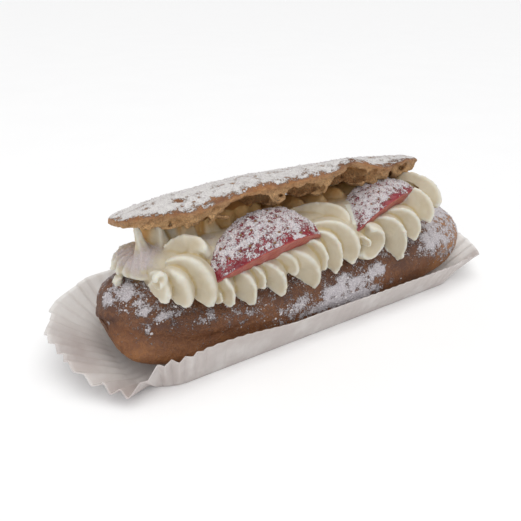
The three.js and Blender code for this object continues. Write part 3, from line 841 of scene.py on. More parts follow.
# %% Wedge sizes
BERRY = {"half_length": 19.5, "half_width": 14.5, "thickness": 9.0, "taper": 0.12}
BERRY_ENDS = {"tip": 1.75, "stalk": 2.2}
BERRY_VOXEL = 0.32
BERRY_CUT = {"front": -2.0, "under": 2.0}
WEDGES = [
    # name, middle of the front cut's lower edge, turn in plan, rise along it, slope to the front, size
    ("strawberry_left", (-23.0, -22.5, 30.5), 5.0, 4.2, 35.0, 1.0),
    ("strawberry_right", (25.3, -18.0, 32.1), 11.0, 8.3, 24.0, 0.92),
]
WEDGE_SUGAR = {
    # how thick it lies, how bare the front edge is, and how far from that edge
    "strawberry_left": (0.57, 0.62, 2.4),
    "strawberry_right": (0.63, 0.55, 2.0),
}
SEED = {"spacing": 3.1, "from_cuts": 1.2, "sunk": 0.52, "half_sizes": (0.55, 0.36, 0.3)}
print("wedge length:", 2 * BERRY["half_length"], "mm")


# %% Wedge mesh
def berry_girth(share):
    """The share of its full girth that a berry has: its tip is to the left, its stalk to the right."""
    return rounded_end(share, np.where(share < 0, BERRY_ENDS["tip"], BERRY_ENDS["stalk"]))


def berry_skin(around, along, grow=0.0):
    share = np.cos(np.pi * along)
    side, up = ring(around)
    girth = berry_girth(share) * (1 + BERRY["taper"] * share)
    x = (BERRY["half_length"] + grow) * share
    y = (BERRY["half_width"] + grow) * girth * side - BERRY_CUT["front"]
    z = (BERRY["thickness"] + grow) * girth * up - BERRY_CUT["under"]
    return np.stack([x, y, z], -1)


def wedge_matrix(middle, turn, rise, slope, size):
    turned = Euler((math.radians(slope), math.radians(-rise), math.radians(turn)), "XYZ").to_matrix()
    return Matrix.Translation(Vector(middle) * MILLIMETRE) @ (size * turned).to_4x4()


def wedge_body(name, grow=0.0, steps=72):
    """A wedge in its own frame: skin up, front cut along X at y = 0, underside at z = 0."""
    wedge = rounded_body(name, steps, steps, lambda around, along: berry_skin(around, along, grow))
    shape = bmesh.new()
    shape.from_mesh(wedge.data)
    for normal in ((0, 1, 0), (0, 0, 1)):
        everything = shape.verts[:] + shape.edges[:] + shape.faces[:]
        on_plane = -grow * MILLIMETRE * Vector(normal)
        plane = {"plane_co": on_plane, "plane_no": normal, "clear_inner": True, "dist": 1e-7}
        cut = bmesh.ops.bisect_plane(shape, geom=everything, **plane)
        rim = [part for part in cut["geom_cut"] if isinstance(part, bmesh.types.BMEdge)]
        bmesh.ops.contextual_create(shape, geom=rim)
    bmesh.ops.triangulate(shape, faces=[face for face in shape.faces if len(face.verts) > 4])
    bmesh.ops.recalc_face_normals(shape, faces=shape.faces[:])
    shape.to_mesh(wedge.data)
    shape.free()
    return wedge


print("girth half way to the tip and to the stalk:", berry_girth(np.array([-0.5, 0.5])).round(2))


# %% Seed places
def seed_places():
    """Where the seeds sit on the skin, in the wedge's own frame, in staggered rows."""
    places = []
    rows = int(2 * BERRY["half_length"] / SEED["spacing"])
    for row in range(1, rows):
        share = 1 - 2 * row / rows
        girth = BERRY["half_width"] * float(berry_girth(share))
        count = max(1, int(2 * girth / SEED["spacing"]))
        for step in range(count):
            around = 0.25 + 0.5 * (step + 0.5 + 0.5 * (row % 2)) / count
            place = berry_skin(np.array([around]), np.array([math.acos(share) / math.pi]))[0]
            if min(place[1], place[2]) > SEED["from_cuts"]:
                places.append(place)
    return np.array(places)


SEEDS = seed_places()
print("seeds on a wedge:", len(SEEDS))


# %% Wedge skin, dimples and cut flesh
DIMPLE = {"depth": 0.45, "reach": 0.75}
CAKED_SUGAR = 0.5
FLESH_RELIEF = 0.05
WEDGE_SET_BACK = 0.1
SUGAR_OFF_SEEDS = {"less": 0.12, "reach": 0.9}
WEDGE_SUGAR_BREAKS = 0.46


def build_wedge(name, seed, amount, bareness, from_edge):
    """A wedge in its own frame, with clumps of sugar over dimpled skin, and its two cuts left bare."""
    wedge = remeshed(wedge_body(name), BERRY_VOXEL)
    points = points_of(wedge)
    from_cuts = np.minimum(points[:, 1], points[:, 2])
    on_cut = 1 - smoothstep(from_cuts, 0.15, 0.5)
    to_seed = np.min(np.linalg.norm(points[:, None, :] - SEEDS[None, :, :], axis=2), axis=1)
    dimple = -DIMPLE["depth"] * np.exp(-((to_seed / DIMPLE["reach"]) ** 2))
    clumps = CAKED_SUGAR * smoothstep(rough_noise(points, 2.2, seed, 3), -0.25, 0.5)
    flesh = FLESH_RELIEF * rough_noise(points * np.array([0.4, 1, 1]), 1.6, seed + 9, 2)
    skin = (dimple + clumps - WEDGE_SET_BACK) * smoothstep(from_cuts, 0.2, 1.6)
    raise_skin(wedge, np.where(on_cut > 0.5, flesh, skin) - WEDGE_SET_BACK)
    store(wedge, "cut", on_cut)
    patchy = smoothstep(rough_noise(points, 4.0, seed + 3, 3), -0.35, 0.2)
    bare = bareness * np.exp(-(((points[:, 1] - 0.5) / from_edge) ** 2)) * patchy
    at_seed = SUGAR_OFF_SEEDS["less"] * np.exp(-((to_seed / SUGAR_OFF_SEEDS["reach"]) ** 2))
    thick = amount + WEDGE_SUGAR_BREAKS * rough_noise(points, 1.2, seed, 3) - bare - at_seed
    store(wedge, "sugar", np.clip(thick * (1 - on_cut), 0, 1))
    return wedge


wedges = {}
for order, (node, *where) in enumerate(WEDGES):
    wedge = build_wedge(node + "_wedge", 51 + 20 * order, *WEDGE_SUGAR[node])
    wedge.data.transform(wedge_matrix(*where))
    wedges[node] = smooth_shaded(wedge)
    print(node, triangles_of(wedge), "triangles")

# %% [markdown]
# A berry's skin is dark red and glossy, and its flesh is paler and wetter where the knife went. Light goes
# a little way into both, so the shader has some subsurface. Its sugar is white, with a painted pinkish-grey
# shade among the grains.

# %% Strawberry finish
FLESH_DEPTH = 0.06
FLESH_GLOSS = 0.3
FLESH_LIGHT = (0.15, (1.5, 0.4, 0.3))
BERRY_SKIN = (shade(112, 14, 30), shade(140, 26, 40))
BERRY_FLESH = (shade(150, 60, 56), shade(172, 92, 80))


def strawberry_finish():
    finish, tree, shader = new_finish("strawberry_flesh")
    place = place_of(tree)
    blotch = grain(tree, place, 5.0, 3.0)
    streak = grain(tree, place, 1.2, 4.0)
    skin = blended(tree, eased(tree, blotch, 0.35, 0.7), *BERRY_SKIN)
    flesh = blended(tree, eased(tree, streak, 0.35, 0.7), *BERRY_FLESH)
    colour = blended(tree, stored(tree, "cut"), skin, flesh)
    dusted(tree, shader, place, colour, FLESH_GLOSS, (streak, FLESH_DEPTH), BERRY_SUGAR)
    let_light_in(shader, *FLESH_LIGHT)
    return finish


strawberry = strawberry_finish()
for node, wedge in wedges.items():
    give_finish(wedge, strawberry)
    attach(wedge, "root")
    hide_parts(node)
print("wedges replace their solids")

# %% [markdown]
# Strawberry seeds are small dry nutlets, flat on the skin and brown. Each is a tiny stretched many-sided
# lump, laid in its dimple along the berry. All of them on both wedges make one piece of real mesh,
# because the export keeps no particles.


# %% Many small lumps
def lump_mesh(detail):
    """Corners and triangles of a unit ball, for many small lumps."""
    shape = bmesh.new()
    bmesh.ops.create_icosphere(shape, subdivisions=detail, radius=1.0)
    corners = np.array([v.co for v in shape.verts])
    triangles = np.array([[v.index for v in face.verts] for face in shape.faces])
    shape.free()
    return corners, triangles


def many_lumps(name, centres, frames, sizes, corners, triangles, jitter=None):
    """One piece of many lumps: frames holds each one's three directions, sizes its half-sizes in mm."""
    shape = corners[None, :, :] if jitter is None else corners[None, :, :] * jitter[:, :, None]
    points = centres[:, None, :] + np.einsum("nij,nkj->nki", frames, shape * sizes[:, None, :])
    faces = triangles[None, :, :] + len(corners) * np.arange(len(centres))[:, None, None]
    return new_piece(name, points.reshape(-1, 3), faces.reshape(-1, 3).tolist())


def frames_from(normals, along):
    """Three directions at each place: along the surface, across it, and out of it."""
    first = along - normals * (along * normals).sum(1)[:, None]
    first /= np.maximum(np.linalg.norm(first, axis=1), 1e-6)[:, None]
    return np.stack([first, np.cross(normals, first), normals], -1)


print("corners of a lump:", [len(lump_mesh(detail)[0]) for detail in (1, 2, 3)])


# %% Seeds
SEED_HUSK = (shade(116, 84, 50), shade(140, 96, 62))
HUSK_GRAIN = {"size": 0.5, "depth": 0.05}


def build_seeds():
    corners, triangles = lump_mesh(2)
    centres, frames = [], []
    tilt = np.array([BERRY["half_length"] ** -2, BERRY["half_width"] ** -2, BERRY["thickness"] ** -2])
    middle = np.array([0.0, -BERRY_CUT["front"], -BERRY_CUT["under"]])
    normals = (SEEDS - middle) * tilt
    normals /= np.linalg.norm(normals, axis=1)[:, None]
    for _, *where in WEDGES:
        matrix = np.array(wedge_matrix(*where))
        centres.append((SEEDS - SEED["sunk"] * normals) @ matrix[:3, :3].T + matrix[:3, 3] / MILLIMETRE)
        frames.append(frames_from(normals @ matrix[:3, :3].T, np.tile(matrix[:3, 0], (len(SEEDS), 1))))
    centres, frames = np.vstack(centres), np.vstack(frames)
    sizes = np.tile(SEED["half_sizes"], (len(centres), 1))
    return many_lumps("strawberry_seeds", centres, frames, sizes, corners, triangles)


def seed_finish():
    finish, tree, shader = new_finish("seed_husk")
    place = place_of(tree)
    speck = grain(tree, place, HUSK_GRAIN["size"], 2.0)
    colour = blended(tree, eased(tree, speck, 0.3, 0.7), *SEED_HUSK)
    fill(tree, shader.inputs["Base Color"], colour)
    fill(tree, shader.inputs["Normal"], bumped(tree, speck, HUSK_GRAIN["depth"]))
    shader.inputs["Roughness"].default_value = 0.5
    return finish


seeds = smooth_shaded(build_seeds())
give_finish(seeds, seed_finish())
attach(seeds, "root")
print("seeds:", triangles_of(seeds), "triangles")

# %% [markdown]
# ## Choux cap
# The cap is the bun's sliced-off top. Its crust is thin and brown; below it hangs torn crumb full of
# bubbles, with three large pockets along the front. Noise alone gives dents but no overhanging bubble,
# so the bubbles are real: many ellipsoids are joined, remeshed into one cutter and taken out of the
# crumb.

# %% Cap sizes
CAP = {"half_length": 56.7, "half_width": 17.6, "dome": 3.3, "sag": 2.0, "crumb": 5.8}
CAP_ENDS = {"right": 2.4, "left": 3.1}
CAP_CENTRE = np.array([-3.6, 2.0, 43.7])
CAP_TILT = math.radians(-16.5)
EDGE_WAVES = [
    # middle along the cap, half-length, rise
    (-38.0, 9.0, -1.8),
    (17.0, 7.0, 2.2),
    (31.0, 7.0, -1.5),
]
POCKETS = [
    # middle in the cap's own frame, half-sizes
    ((-21.0, -10.0, -3.0), (9.0, 8.5, 3.6)),
    ((-2.0, -10.5, -3.2), (7.0, 8.0, 3.7)),
    ((16.0, -10.0, -2.4), (9.0, 9.0, 4.2)),
]
BUBBLES = {"count": 420, "in_front": 280, "size": 0.85, "spread": 0.45, "seed": 7}
BUBBLE_VOXEL = 0.35
CAP_VOXEL = 0.4
CAP_STEPS = (220, 260)
CAP_RAGGED = 0.7
print("cap length:", 2 * CAP["half_length"], "mm")


# %% Cap body
def cap_end(share):
    return rounded_end(share, np.where(share > 0, CAP_ENDS["right"], CAP_ENDS["left"]))


def edge_height(x, share, side, body):
    """Where crust meets crumb: the edge waves in front, and the whole cap sags to its ends."""
    wave = sum(rise * np.exp(-(((x - middle) / half) ** 2)) for middle, half, rise in EDGE_WAVES)
    return wave * smoothstep(-side, 0.2, 0.9) * body - CAP["sag"] * share**2


def cap_in_place(points):
    """Tilts points from the cap's own frame to where it rests."""
    cos, sin = math.cos(CAP_TILT), math.sin(CAP_TILT)
    turn = np.array([[1, 0, 0], [0, cos, -sin], [0, sin, cos]])
    return points @ turn.T + CAP_CENTRE


def cap_taper(share, body):
    """The crumb thins out towards the left tip and stays thick up to the right tip."""
    return np.where(share > 0, body**0.6, body**1.6)


def cap_skin(around, along, grow=0.0, above=0.0):
    """The cap's skin in its own frame, or one that lies grow mm outside it and above mm higher on top."""
    share = np.cos(np.pi * along)
    side, up = ring(around)
    x = (CAP["half_length"] + grow) * share
    body = cap_end(share)
    y = (CAP["half_width"] + grow) * body * power(side, 0.9)
    edge = edge_height(x, share, side, body)
    near_edge = np.abs(side)
    thick = (1 - near_edge**6) * (0.65 + 0.35 * np.sin(np.pi * near_edge))
    crumb = CAP["crumb"] * thick * (1 + 0.1 * np.sin(1.1 * x))
    there = body > 0
    under = -crumb * cap_taper(share, body) - grow * there
    over = CAP["dome"] * body * np.maximum(0, up) ** 0.9 + (grow + above) * there
    return np.stack([x, y, edge + np.where(up > 1e-6, over, under)], -1)


print("the cap's tips hang", CAP["sag"], "mm lower than its middle")


# %% Cap bubbles
def bubble_cutter():
    """The three pockets and many small bubbles, most of them along the front, as one cutter."""
    rng = np.random.default_rng(BUBBLES["seed"])
    count, in_front = BUBBLES["count"], BUBBLES["in_front"]
    share = rng.uniform(-0.95, 0.88, count)
    along_front = -rng.uniform(0.35, 1.0, in_front)
    anywhere = rng.uniform(-0.9, 0.9, count - in_front)
    side = np.concatenate([along_front, anywhere])
    body = cap_end(share)
    size = np.exp(rng.normal(math.log(BUBBLES["size"]), BUBBLES["spread"], count))
    x = CAP["half_length"] * share
    y = CAP["half_width"] * body * side
    edge = edge_height(x, share, side, body)
    depth = rng.uniform(0.3, 1.0, count) * CAP["crumb"] * cap_taper(share, body) * (1 - np.abs(side) ** 6)
    small = np.stack([x, y, edge - depth - 0.4 * size - 0.3], -1)
    centres = np.vstack([[middle for middle, _ in POCKETS], small])
    sizes = np.vstack([[half for _, half in POCKETS], size[:, None] * rng.uniform(0.75, 1.35, (count, 3))])
    corners, triangles = lump_mesh(3)
    frames = np.tile(np.eye(3), (len(centres), 1, 1))
    return remeshed(many_lumps("bubbles", centres, frames, sizes, corners, triangles), BUBBLE_VOXEL)


def build_cap():
    cap = rounded_body("choux_cap_crust", *CAP_STEPS, cap_skin)
    points = points_of(cap)
    ragged = CAP_RAGGED * rough_noise(points, 2.2, 61, 3) * (normals_of(cap)[:, 2] < -0.2)
    raise_skin(cap, ragged)
    cut_away(cap, bubble_cutter())
    remeshed(cap, CAP_VOXEL)
    return softened(cap, 2)


cap = largest_part(build_cap())
print("cap:", triangles_of(cap), "triangles")

# %% [markdown]
# Most of the sugar fell on the cap. It lies thick on top, with brown flecks where it slid off, and
# leaves the front edge of the crust bare. Below that edge the crumb is golden, and paler the deeper it
# is torn. The cap is dressed while it still lies flat in its own frame, because up and front are plain
# axes there, and only then tilted to where it rests.

# %% Cap relief, bake and sugar
CAP_RELIEF = {"swelling": 0.5, "caked": 0.3, "torn": 0.42}
CAP_DUST = {"thick": 0.76, "off_the_edge": 0.45, "broken": 0.7}
CAP_BAKE = {"all_over": 0.45, "patches": 0.3, "spot": 0.5, "edge": 0.3}
BROWN_SPOT = ((-39.0, -8.0), (1.6, 1.2))
CAP_BROWNS = (shade(196, 140, 78), shade(154, 100, 52), shade(104, 62, 36))
CAP_CRUMB = (228, 182, 130)


def dress_cap(piece):
    points, normals = points_of(piece), normals_of(piece)
    share = np.clip(points[:, 0] / CAP["half_length"], -1, 1)
    body = np.maximum(cap_end(share), 0.05)
    side = points[:, 1] / (CAP["half_width"] * body)
    above = points[:, 2] - edge_height(points[:, 0], share, side, body)
    torn_edge = above + 0.7 * rough_noise(points, 1.4, 73, 3)
    inner = 1 - smoothstep(torn_edge, -0.1, 0.9)
    sky = smoothstep(normals[:, 2] + 0.35 * rough_noise(points, 1.8, 79, 3), 0.38, 0.78) * (1 - inner)
    swell = CAP_RELIEF["swelling"] * rough_noise(points, 9.0, 71, 3)
    swell = swell + CAP_RELIEF["caked"] * sky * rough_noise(points, 2.2, 77, 3)
    torn = CAP_RELIEF["torn"] * rough_noise(points, 1.0, 74, 2)
    raise_skin(piece, inner * torn + (1 - inner) * swell)
    brown_spot = reach_of(points[:, :2], *BROWN_SPOT)
    thick = CAP_DUST["thick"] - CAP_DUST["off_the_edge"] * smoothstep(-side, 0.77, 0.99)
    thick = thick + CAP_DUST["broken"] * rough_noise(points, 2.4, 81, 4)
    store(piece, "sugar", np.clip(sky * thick - brown_spot, 0, 1))
    store(piece, "crumb", inner * (0.3 + 0.7 * smoothstep(-torn_edge, -0.4, 2.4)))
    baked = CAP_BAKE["all_over"] + CAP_BAKE["patches"] * rough_noise(points, 12.0, 84, 3)
    baked = baked + CAP_BAKE["spot"] * brown_spot + CAP_BAKE["edge"] * smoothstep(-side, 0.7, 0.95)
    store(piece, "baked", np.clip(baked, 0, 1))
    move_points(piece, cap_in_place(points_of(piece)))


dress_cap(cap)
smooth_shaded(cap)
give_finish(cap, crust_finish("cap_crust", *CAP_BROWNS, CAP_CRUMB, THICK_SUGAR))
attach(cap, "root")
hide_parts("choux_cap")
print("cap replaces its solid")

# %% [markdown]
# ## Piped cream
# The baker wound the cream along the cut with a star nozzle. Behind, the turns show as plain lobes. In
# front, each turn ends in a petal: it sets off along the coil, bends and hangs down over the bun's
# shoulder, with one sharp rim on its outer side where a point of the star dragged. Curves with a bevel
# could make such strands, but their section can't lean, so each strand is a closed skin round a path on
# the coil's surface. A remesh joins them all, and the bun, the cap and the berries are cut out, so the
# cream fills what they leave.

# %% Cream sizes
COIL = {"y": -2.5, "z": 28.0, "back": 14.0, "front": 18.2, "up": 6.5, "hang": 13.0, "lean": 0.3}
BED = {"left": -55.0, "right": 49.0, "first": -30.0, "last": 186.0, "out": 0.6, "sink": 6.5}
BED_OPEN = 0.8
LOBES = {"left": -47.0, "right": 46.0, "count": 12, "slant": 5.0, "width": 5.2, "rise": 5.4}
LOBE_TURNS = {"first": -38.0, "last": 100.0}
PETAL_BEND = np.radians(115)
PETAL_START = 0.45
PETAL_TIP = {"from": 0.62, "aside": 0.3, "lift": 0.55}
PETALS = [
    # start along X and in degrees over the coil, tip along X and in degrees, half-width, rise
    (-57.2, 150, -55.4, 180, 3.2, 4.8),
    (-54.6, 152, -49.8, 193, 3.9, 5.2),
    (-52.5, 140, -42.9, 202, 4.0, 5.4),
    (-49.8, 112, -41.6, 146, 3.6, 4.2),
    (-42.5, 182, -40.0, 207, 2.2, 4.0),
    (-41.5, 168, -36.6, 213, 2.9, 5.0),
    (-35.0, 170, -29.6, 222, 3.4, 5.2),
    (-31.5, 168, -26.4, 202, 2.6, 4.6),
    (-28.0, 169, -19.4, 222, 3.5, 5.2),
    (-25.0, 160, -15.0, 198, 3.2, 4.0),
    (-20.8, 163, -7.2, 230, 4.8, 5.4),
    (-13.0, 156, -4.6, 202, 2.8, 4.8),
    (-7.0, 152, 1.1, 213, 3.2, 5.0),
    (-7.5, 141, 7.5, 206, 4.4, 5.2),
    (-10.5, 103, 7.0, 158, 4.2, 3.4),
    (18.0, 156, 29.0, 234, 3.5, 5.2),
    (23.5, 150, 34.3, 200, 3.6, 5.0),
    (7.4, 170, 11.2, 184, 1.7, 6.2),
    (32.0, 126, 40.0, 178, 4.2, 5.4),
    (36.0, 92, 45.0, 164, 5.0, 5.8),
]
CURLS = [
    # place along X and in degrees, height over the coil, spiral's radius and turns, strand, first angle
    (-56.6, 157, 3.0, 1.4, 1.1, 1.25, 165),
]
SHELLS = [
    # middle along X and in degrees, height over the coil, radius, first angle, sweep clockwise, rim's rise
    (13.6, 186, 1.2, 5.4, 95, 235, 3.0),
]
PEAKS = [
    # foot and tip of a pulled-up peak, radius at each
    ((-53.2, -4.5, 29.5), (-55.6, -5.0, 42.5), 4.4, 0.9),
    ((-48.0, -5.5, 30.5), (-49.2, -5.5, 42.5), 4.6, 0.9),
    ((-41.0, -6.0, 31.0), (-41.5, -5.0, 42.5), 5.5, 2.4),
    ((-33.0, -6.0, 31.0), (-35.0, -4.5, 42.5), 5.5, 2.2),
]
BACK_ROLL = {"left": -53.5, "right": -14.0, "y": 0.5, "z": 37.0, "across": 6.5, "up": 6.5}
START = {"middle": (-51.3, 0.8, 27.4), "reach": (9.6, 11.0), "height": 5.0, "foot": 2.2}
START_FOLDS = {"count": 22, "depth": 0.12}
DRIP = {"at": (-61.4, 0.0, 24.4), "radius": 1.5, "stretch": 1.4, "lean": 1.5}
SUNK = 0.2
PRESSED_IN = (0.0, 2.5, 5.0)
AIR_OVER_CAP = 40.0
CREAM_VOXEL = 0.4
print("petals of cream:", len(PETALS))


# %% Paths over the coil
def coil_place(x, turn, out=0.0):
    """A point over the coil: turn is 0 at the back's level, 90 on top and 180 at the front's level."""
    level = np.radians(np.minimum(turn, 180))
    hang = np.radians(np.maximum(turn - 180, 0))
    reach = np.where(np.cos(level) < 0, COIL["front"], COIL["back"])
    facing = level + hang / 2
    y = COIL["y"] + reach * np.cos(level) * np.cos(hang / 2) + out * np.cos(facing)
    z = COIL["z"] + COIL["up"] * np.sin(level) - COIL["hang"] * np.sin(hang) + out * np.sin(facing)
    fall = COIL["lean"] * (y - COIL["y"]) * np.maximum(0, np.sin(level))
    return np.stack([x + 0 * y, y, z - fall], -1)


def unit(vectors):
    return vectors / np.linalg.norm(vectors, axis=-1, keepdims=True)


def strand(name, around_steps, along_steps, path, outward, section):
    """A closed skin round path(share). section(around, share) says how far aside and out it reaches."""

    def skin(around, along):
        share = (1 - np.cos(np.pi * along)) / 2
        ahead = unit(path(share + 0.005) - path(share - 0.005))
        out = outward(share)
        out = unit(out - ahead * (out * ahead).sum(-1, keepdims=True))
        aside, height = section(around, share)
        return path(share) + np.cross(out, ahead) * aside[:, None] + out * height[:, None]

    return rounded_body(name, around_steps, along_steps, skin)


print("the top of the coil is at", coil_place(0.0, 90.0).round(1))


# %% Petals and lobes
def coil_strand(name, route, section):
    """A strand whose route(share) gives its place along X and in degrees over the coil."""

    def outward(share):
        return coil_place(*route(share), 1.0) - coil_place(*route(share))

    return strand(name, 40, 64, lambda share: coil_place(*route(share)), outward, section)


def petal(x, turn, tip_x, tip_turn, width, rise):
    """A strand that thickens, bends down and ends in a lifted tip; those by the clump are rounder."""

    def route(share):
        bend = PETAL_BEND * share
        fall = (1 - np.cos(bend)) / (1 - np.cos(PETAL_BEND))
        return x + (tip_x - x) * np.sin(bend), turn + (tip_turn - turn) * fall

    def section(around, share):
        start = rounded_end(np.clip(1 - share / PETAL_START, 0, 1), 1.5)
        tip = rounded_end(np.clip((share - PETAL_TIP["from"]) / (1 - PETAL_TIP["from"]), 0, 1), 3.8)
        side, out = ring(around)
        aside = -side
        sharp = 0.3 + 0.3 * smoothstep(x, -56.0, -44.0)
        wide = 0.8 + 0.6 * smoothstep(x, -57.5, -47.0)
        lean = np.where(aside < 0, wide, 0.85) * (1 - sharp * smoothstep(out, -0.1, 1.0))
        across = start * tip * aside * lean - PETAL_TIP["aside"] * (1 - tip)
        return width * across, rise * (start * tip * out + PETAL_TIP["lift"] * (1 - tip))

    return coil_strand("petal", route, section)


def lobe(x):
    """A plain turn at the back, from under the cap down to the bun."""

    def route(share):
        sweep = LOBE_TURNS["last"] - LOBE_TURNS["first"]
        return x + LOBES["slant"] * share, LOBE_TURNS["first"] + sweep * share

    def section(around, share):
        size = rounded_end(2 * share - 1, 3.0)
        side, out = ring(around)
        aside = -side * (1 - 0.5 * smoothstep(out, 0.0, 1.0))
        return LOBES["width"] * size * aside, LOBES["rise"] * size * out

    return coil_strand("lobe", route, section)


print("lobes behind:", LOBES["count"])


# %% Curl and shell
def on_coil(x, turn, out):
    """A place over the coil, with the directions outwards, to the right and upwards there."""
    middle = coil_place(np.array(x), np.array(turn), out)
    facing = unit(middle - coil_place(np.array(x), np.array(turn), out - 1))
    right = np.array([1.0, 0.0, 0.0])
    return middle, facing, right, np.cross(facing, right)


def steadily(direction):
    """An outward direction that is the same all along a strand."""
    return lambda share: np.tile(direction, (len(share), 1))


def curl(x, turn, out, radius, turns, thickness, first):
    """A strand wound into a small spiral that lies on the coil."""
    middle, facing, right, above = on_coil(x, turn, out)

    def path(share):
        angle = np.radians(first) + 2 * np.pi * turns * share
        reach = radius * (1 - 0.65 * share**2.5)
        flat = right * (reach * np.cos(angle))[:, None] + above * (reach * np.sin(angle))[:, None]
        return middle + flat + facing * (1.4 * share)[:, None]

    def section(around, share):
        size = thickness * rounded_end(2 * share - 1, 4.0) * (1 - 0.25 * share)
        side, up = ring(around)
        return -size * side, 1.3 * size * up

    return strand("curl", 24, 72, path, steadily(facing), section)


def shell(x, turn, out, radius, first, sweep, rise):
    """A petal curled round on itself: a rim that runs clockwise and a face that falls to its middle."""
    middle, facing, right, above = on_coil(x, turn, out)

    def path(share):
        angle = np.radians(first - sweep * share)
        reach = radius * (1 - 0.25 * share**2)
        return middle + right * (reach * np.cos(angle))[:, None] + above * (reach * np.sin(angle))[:, None]

    def section(around, share):
        size = rounded_end(2 * share - 1, 5.0)
        side, face = ring(around)
        inward = np.maximum(0, side)
        width = np.where(side > 0, 0.95 * radius, 0.28 * radius)
        across = width * -side * (1 - 0.35 * smoothstep(face, 0.2, 1.0))
        return size * across, size * rise * (face - 0.9 * inward**1.5)

    return strand("shell", 36, 72, path, steadily(facing), section)


print("curls:", len(CURLS), "shells:", len(SHELLS))


# %% Peaks, bed, clump, back roll and drip
def peak(foot, tip, foot_radius, tip_radius):
    """Cream that reaches up to the cap: broad at its foot, thin at its tip, with five shallow ridges."""
    foot, tip = np.array(foot), np.array(tip)

    def path(share):
        return foot + (tip - foot) * share[:, None]

    def section(around, share):
        radius = tip_radius + 1.25 * (foot_radius - tip_radius) * (1 - share) ** 2.3
        radius = radius * rounded_end(2 * share - 1, 8.0) * (1 + 0.07 * np.cos(10 * np.pi * around))
        side, up = ring(around)
        return -radius * side, radius * up

    return strand("peak", 40, 24, path, steadily([0.0, -1.0, 0.0]), section)


def bed_skin(around, along):
    """The cream under petals and lobes: the coil's outline over the bun, shut by a sunken underside."""
    share = np.cos(np.pi * along)
    turn = BED["first"] + (BED["last"] - BED["first"]) * np.clip(around / BED_OPEN, 0, 1)
    size = rounded_end(share, 5.0)
    x = (BED["left"] + BED["right"] + (BED["right"] - BED["left"]) * share) / 2
    outline = coil_place(x, turn, BED["out"])
    back, front = coil_place(x, BED["first"] + 0 * x), coil_place(x, BED["last"] + 0 * x)
    shut = np.clip((around - BED_OPEN) / (1 - BED_OPEN), 0, 1)[:, None]
    outline = np.where(shut > 0, front + (back - front) * shut, outline)
    outline[:, 2] -= BED["sink"] * (1 - (2 * shut[:, 0] - 1) ** 4)
    over = outline[:, 2] - COIL["z"]
    y = COIL["y"] + (outline[:, 1] - COIL["y"]) * size
    return np.stack([x, y, COIL["z"] + over * np.where(over < 0, size**0.25, size)], -1)


def start_skin(around, along):
    """The clump where piping began: a low dome whose left side is folded by the star nozzle."""
    side, ahead = ring(around)
    over = np.cos(np.pi * along)
    girth = rounded_end(over, 2.0)
    folded = smoothstep(-side, 0.0, 0.6) * smoothstep(ahead, -0.8, 0.0)
    fold = START_FOLDS["depth"] * folded * (np.abs(np.cos(START_FOLDS["count"] * np.pi * around)) - 0.5)
    girth = girth * (1 + 2 * fold)
    x = START["middle"][0] + START["reach"][0] * girth * side
    y = START["middle"][1] + START["reach"][1] * girth * ahead
    height = START["height"] * (1 + 2 * fold * girth)
    return np.stack([x, y, START["middle"][2] + over * np.where(over > 0, height, START["foot"])], -1)


def back_roll_skin(around, along):
    """The cream that fills the space under the cap behind the peaks."""
    share = np.cos(np.pi * along)
    size = rounded_end(share, 4.0)
    x = (BACK_ROLL["left"] + BACK_ROLL["right"] + (BACK_ROLL["right"] - BACK_ROLL["left"]) * share) / 2
    waved = 1 + 0.12 * np.sin(1.1 * x)
    side, up = ring(around)
    y = BACK_ROLL["y"] + BACK_ROLL["across"] * waved * size * side
    z = BACK_ROLL["z"] + BACK_ROLL["up"] * size * up
    return np.stack([x, y, z], -1)


def drip_skin(around, along):
    """A drop that hangs from the clump over the bun's left end."""
    share = np.cos(np.pi * along)
    side, ahead = ring(around)
    girth = rounded_end(share, 2.0) * DRIP["radius"]
    x = DRIP["at"][0] + girth * side + DRIP["lean"] * smoothstep(share, 0.0, 1.0)
    y = DRIP["at"][1] + girth * ahead
    return np.stack([x, y, DRIP["at"][2] + DRIP["stretch"] * DRIP["radius"] * share], -1)


print("the clump is", 2 * START["reach"][0], "mm long")


# %% All the cream
def bun_room(around, along):
    return bun_skin(around, along, -SUNK)


def cap_room(around, along):
    """The cap and the air over it; the cream reaches a little way into the crumb."""
    return cap_in_place(cap_skin(around, along, -3 * SUNK, AIR_OVER_CAP))


def build_cream():
    parts = [
        rounded_body("bed", 80, 80, bed_skin),
        rounded_body("drip", 24, 24, drip_skin),
        rounded_body("start", 170, 60, start_skin),
        rounded_body("back_roll", 40, 60, back_roll_skin),
    ]
    parts += [lobe(x) for x in np.linspace(LOBES["left"], LOBES["right"], LOBES["count"])]
    parts += [petal(*sizes) for sizes in PETALS]
    parts += [curl(*sizes) for sizes in CURLS]
    parts += [shell(*sizes) for sizes in SHELLS]
    parts += [peak(*sizes) for sizes in PEAKS]
    cream = softened(remeshed(joined("piped_cream_coil", parts), CREAM_VOXEL), 2)
    cut_away(cream, rounded_body("bun_room", 96, 96, bun_room))
    cut_away(cream, rounded_body("cap_room", 96, 96, cap_room))
    for _, *where in WEDGES:
        for lift in PRESSED_IN:
            room = wedge_body("wedge_room", -SUNK, 32)
            room.data.transform(wedge_matrix(*where) @ Matrix.Translation((0, 0, lift * MILLIMETRE)))
            cut_away(cream, room)
    return cream


cream = largest_part(build_cream())
smooth_shaded(cream)
print("cream:", triangles_of(cream), "triangles")
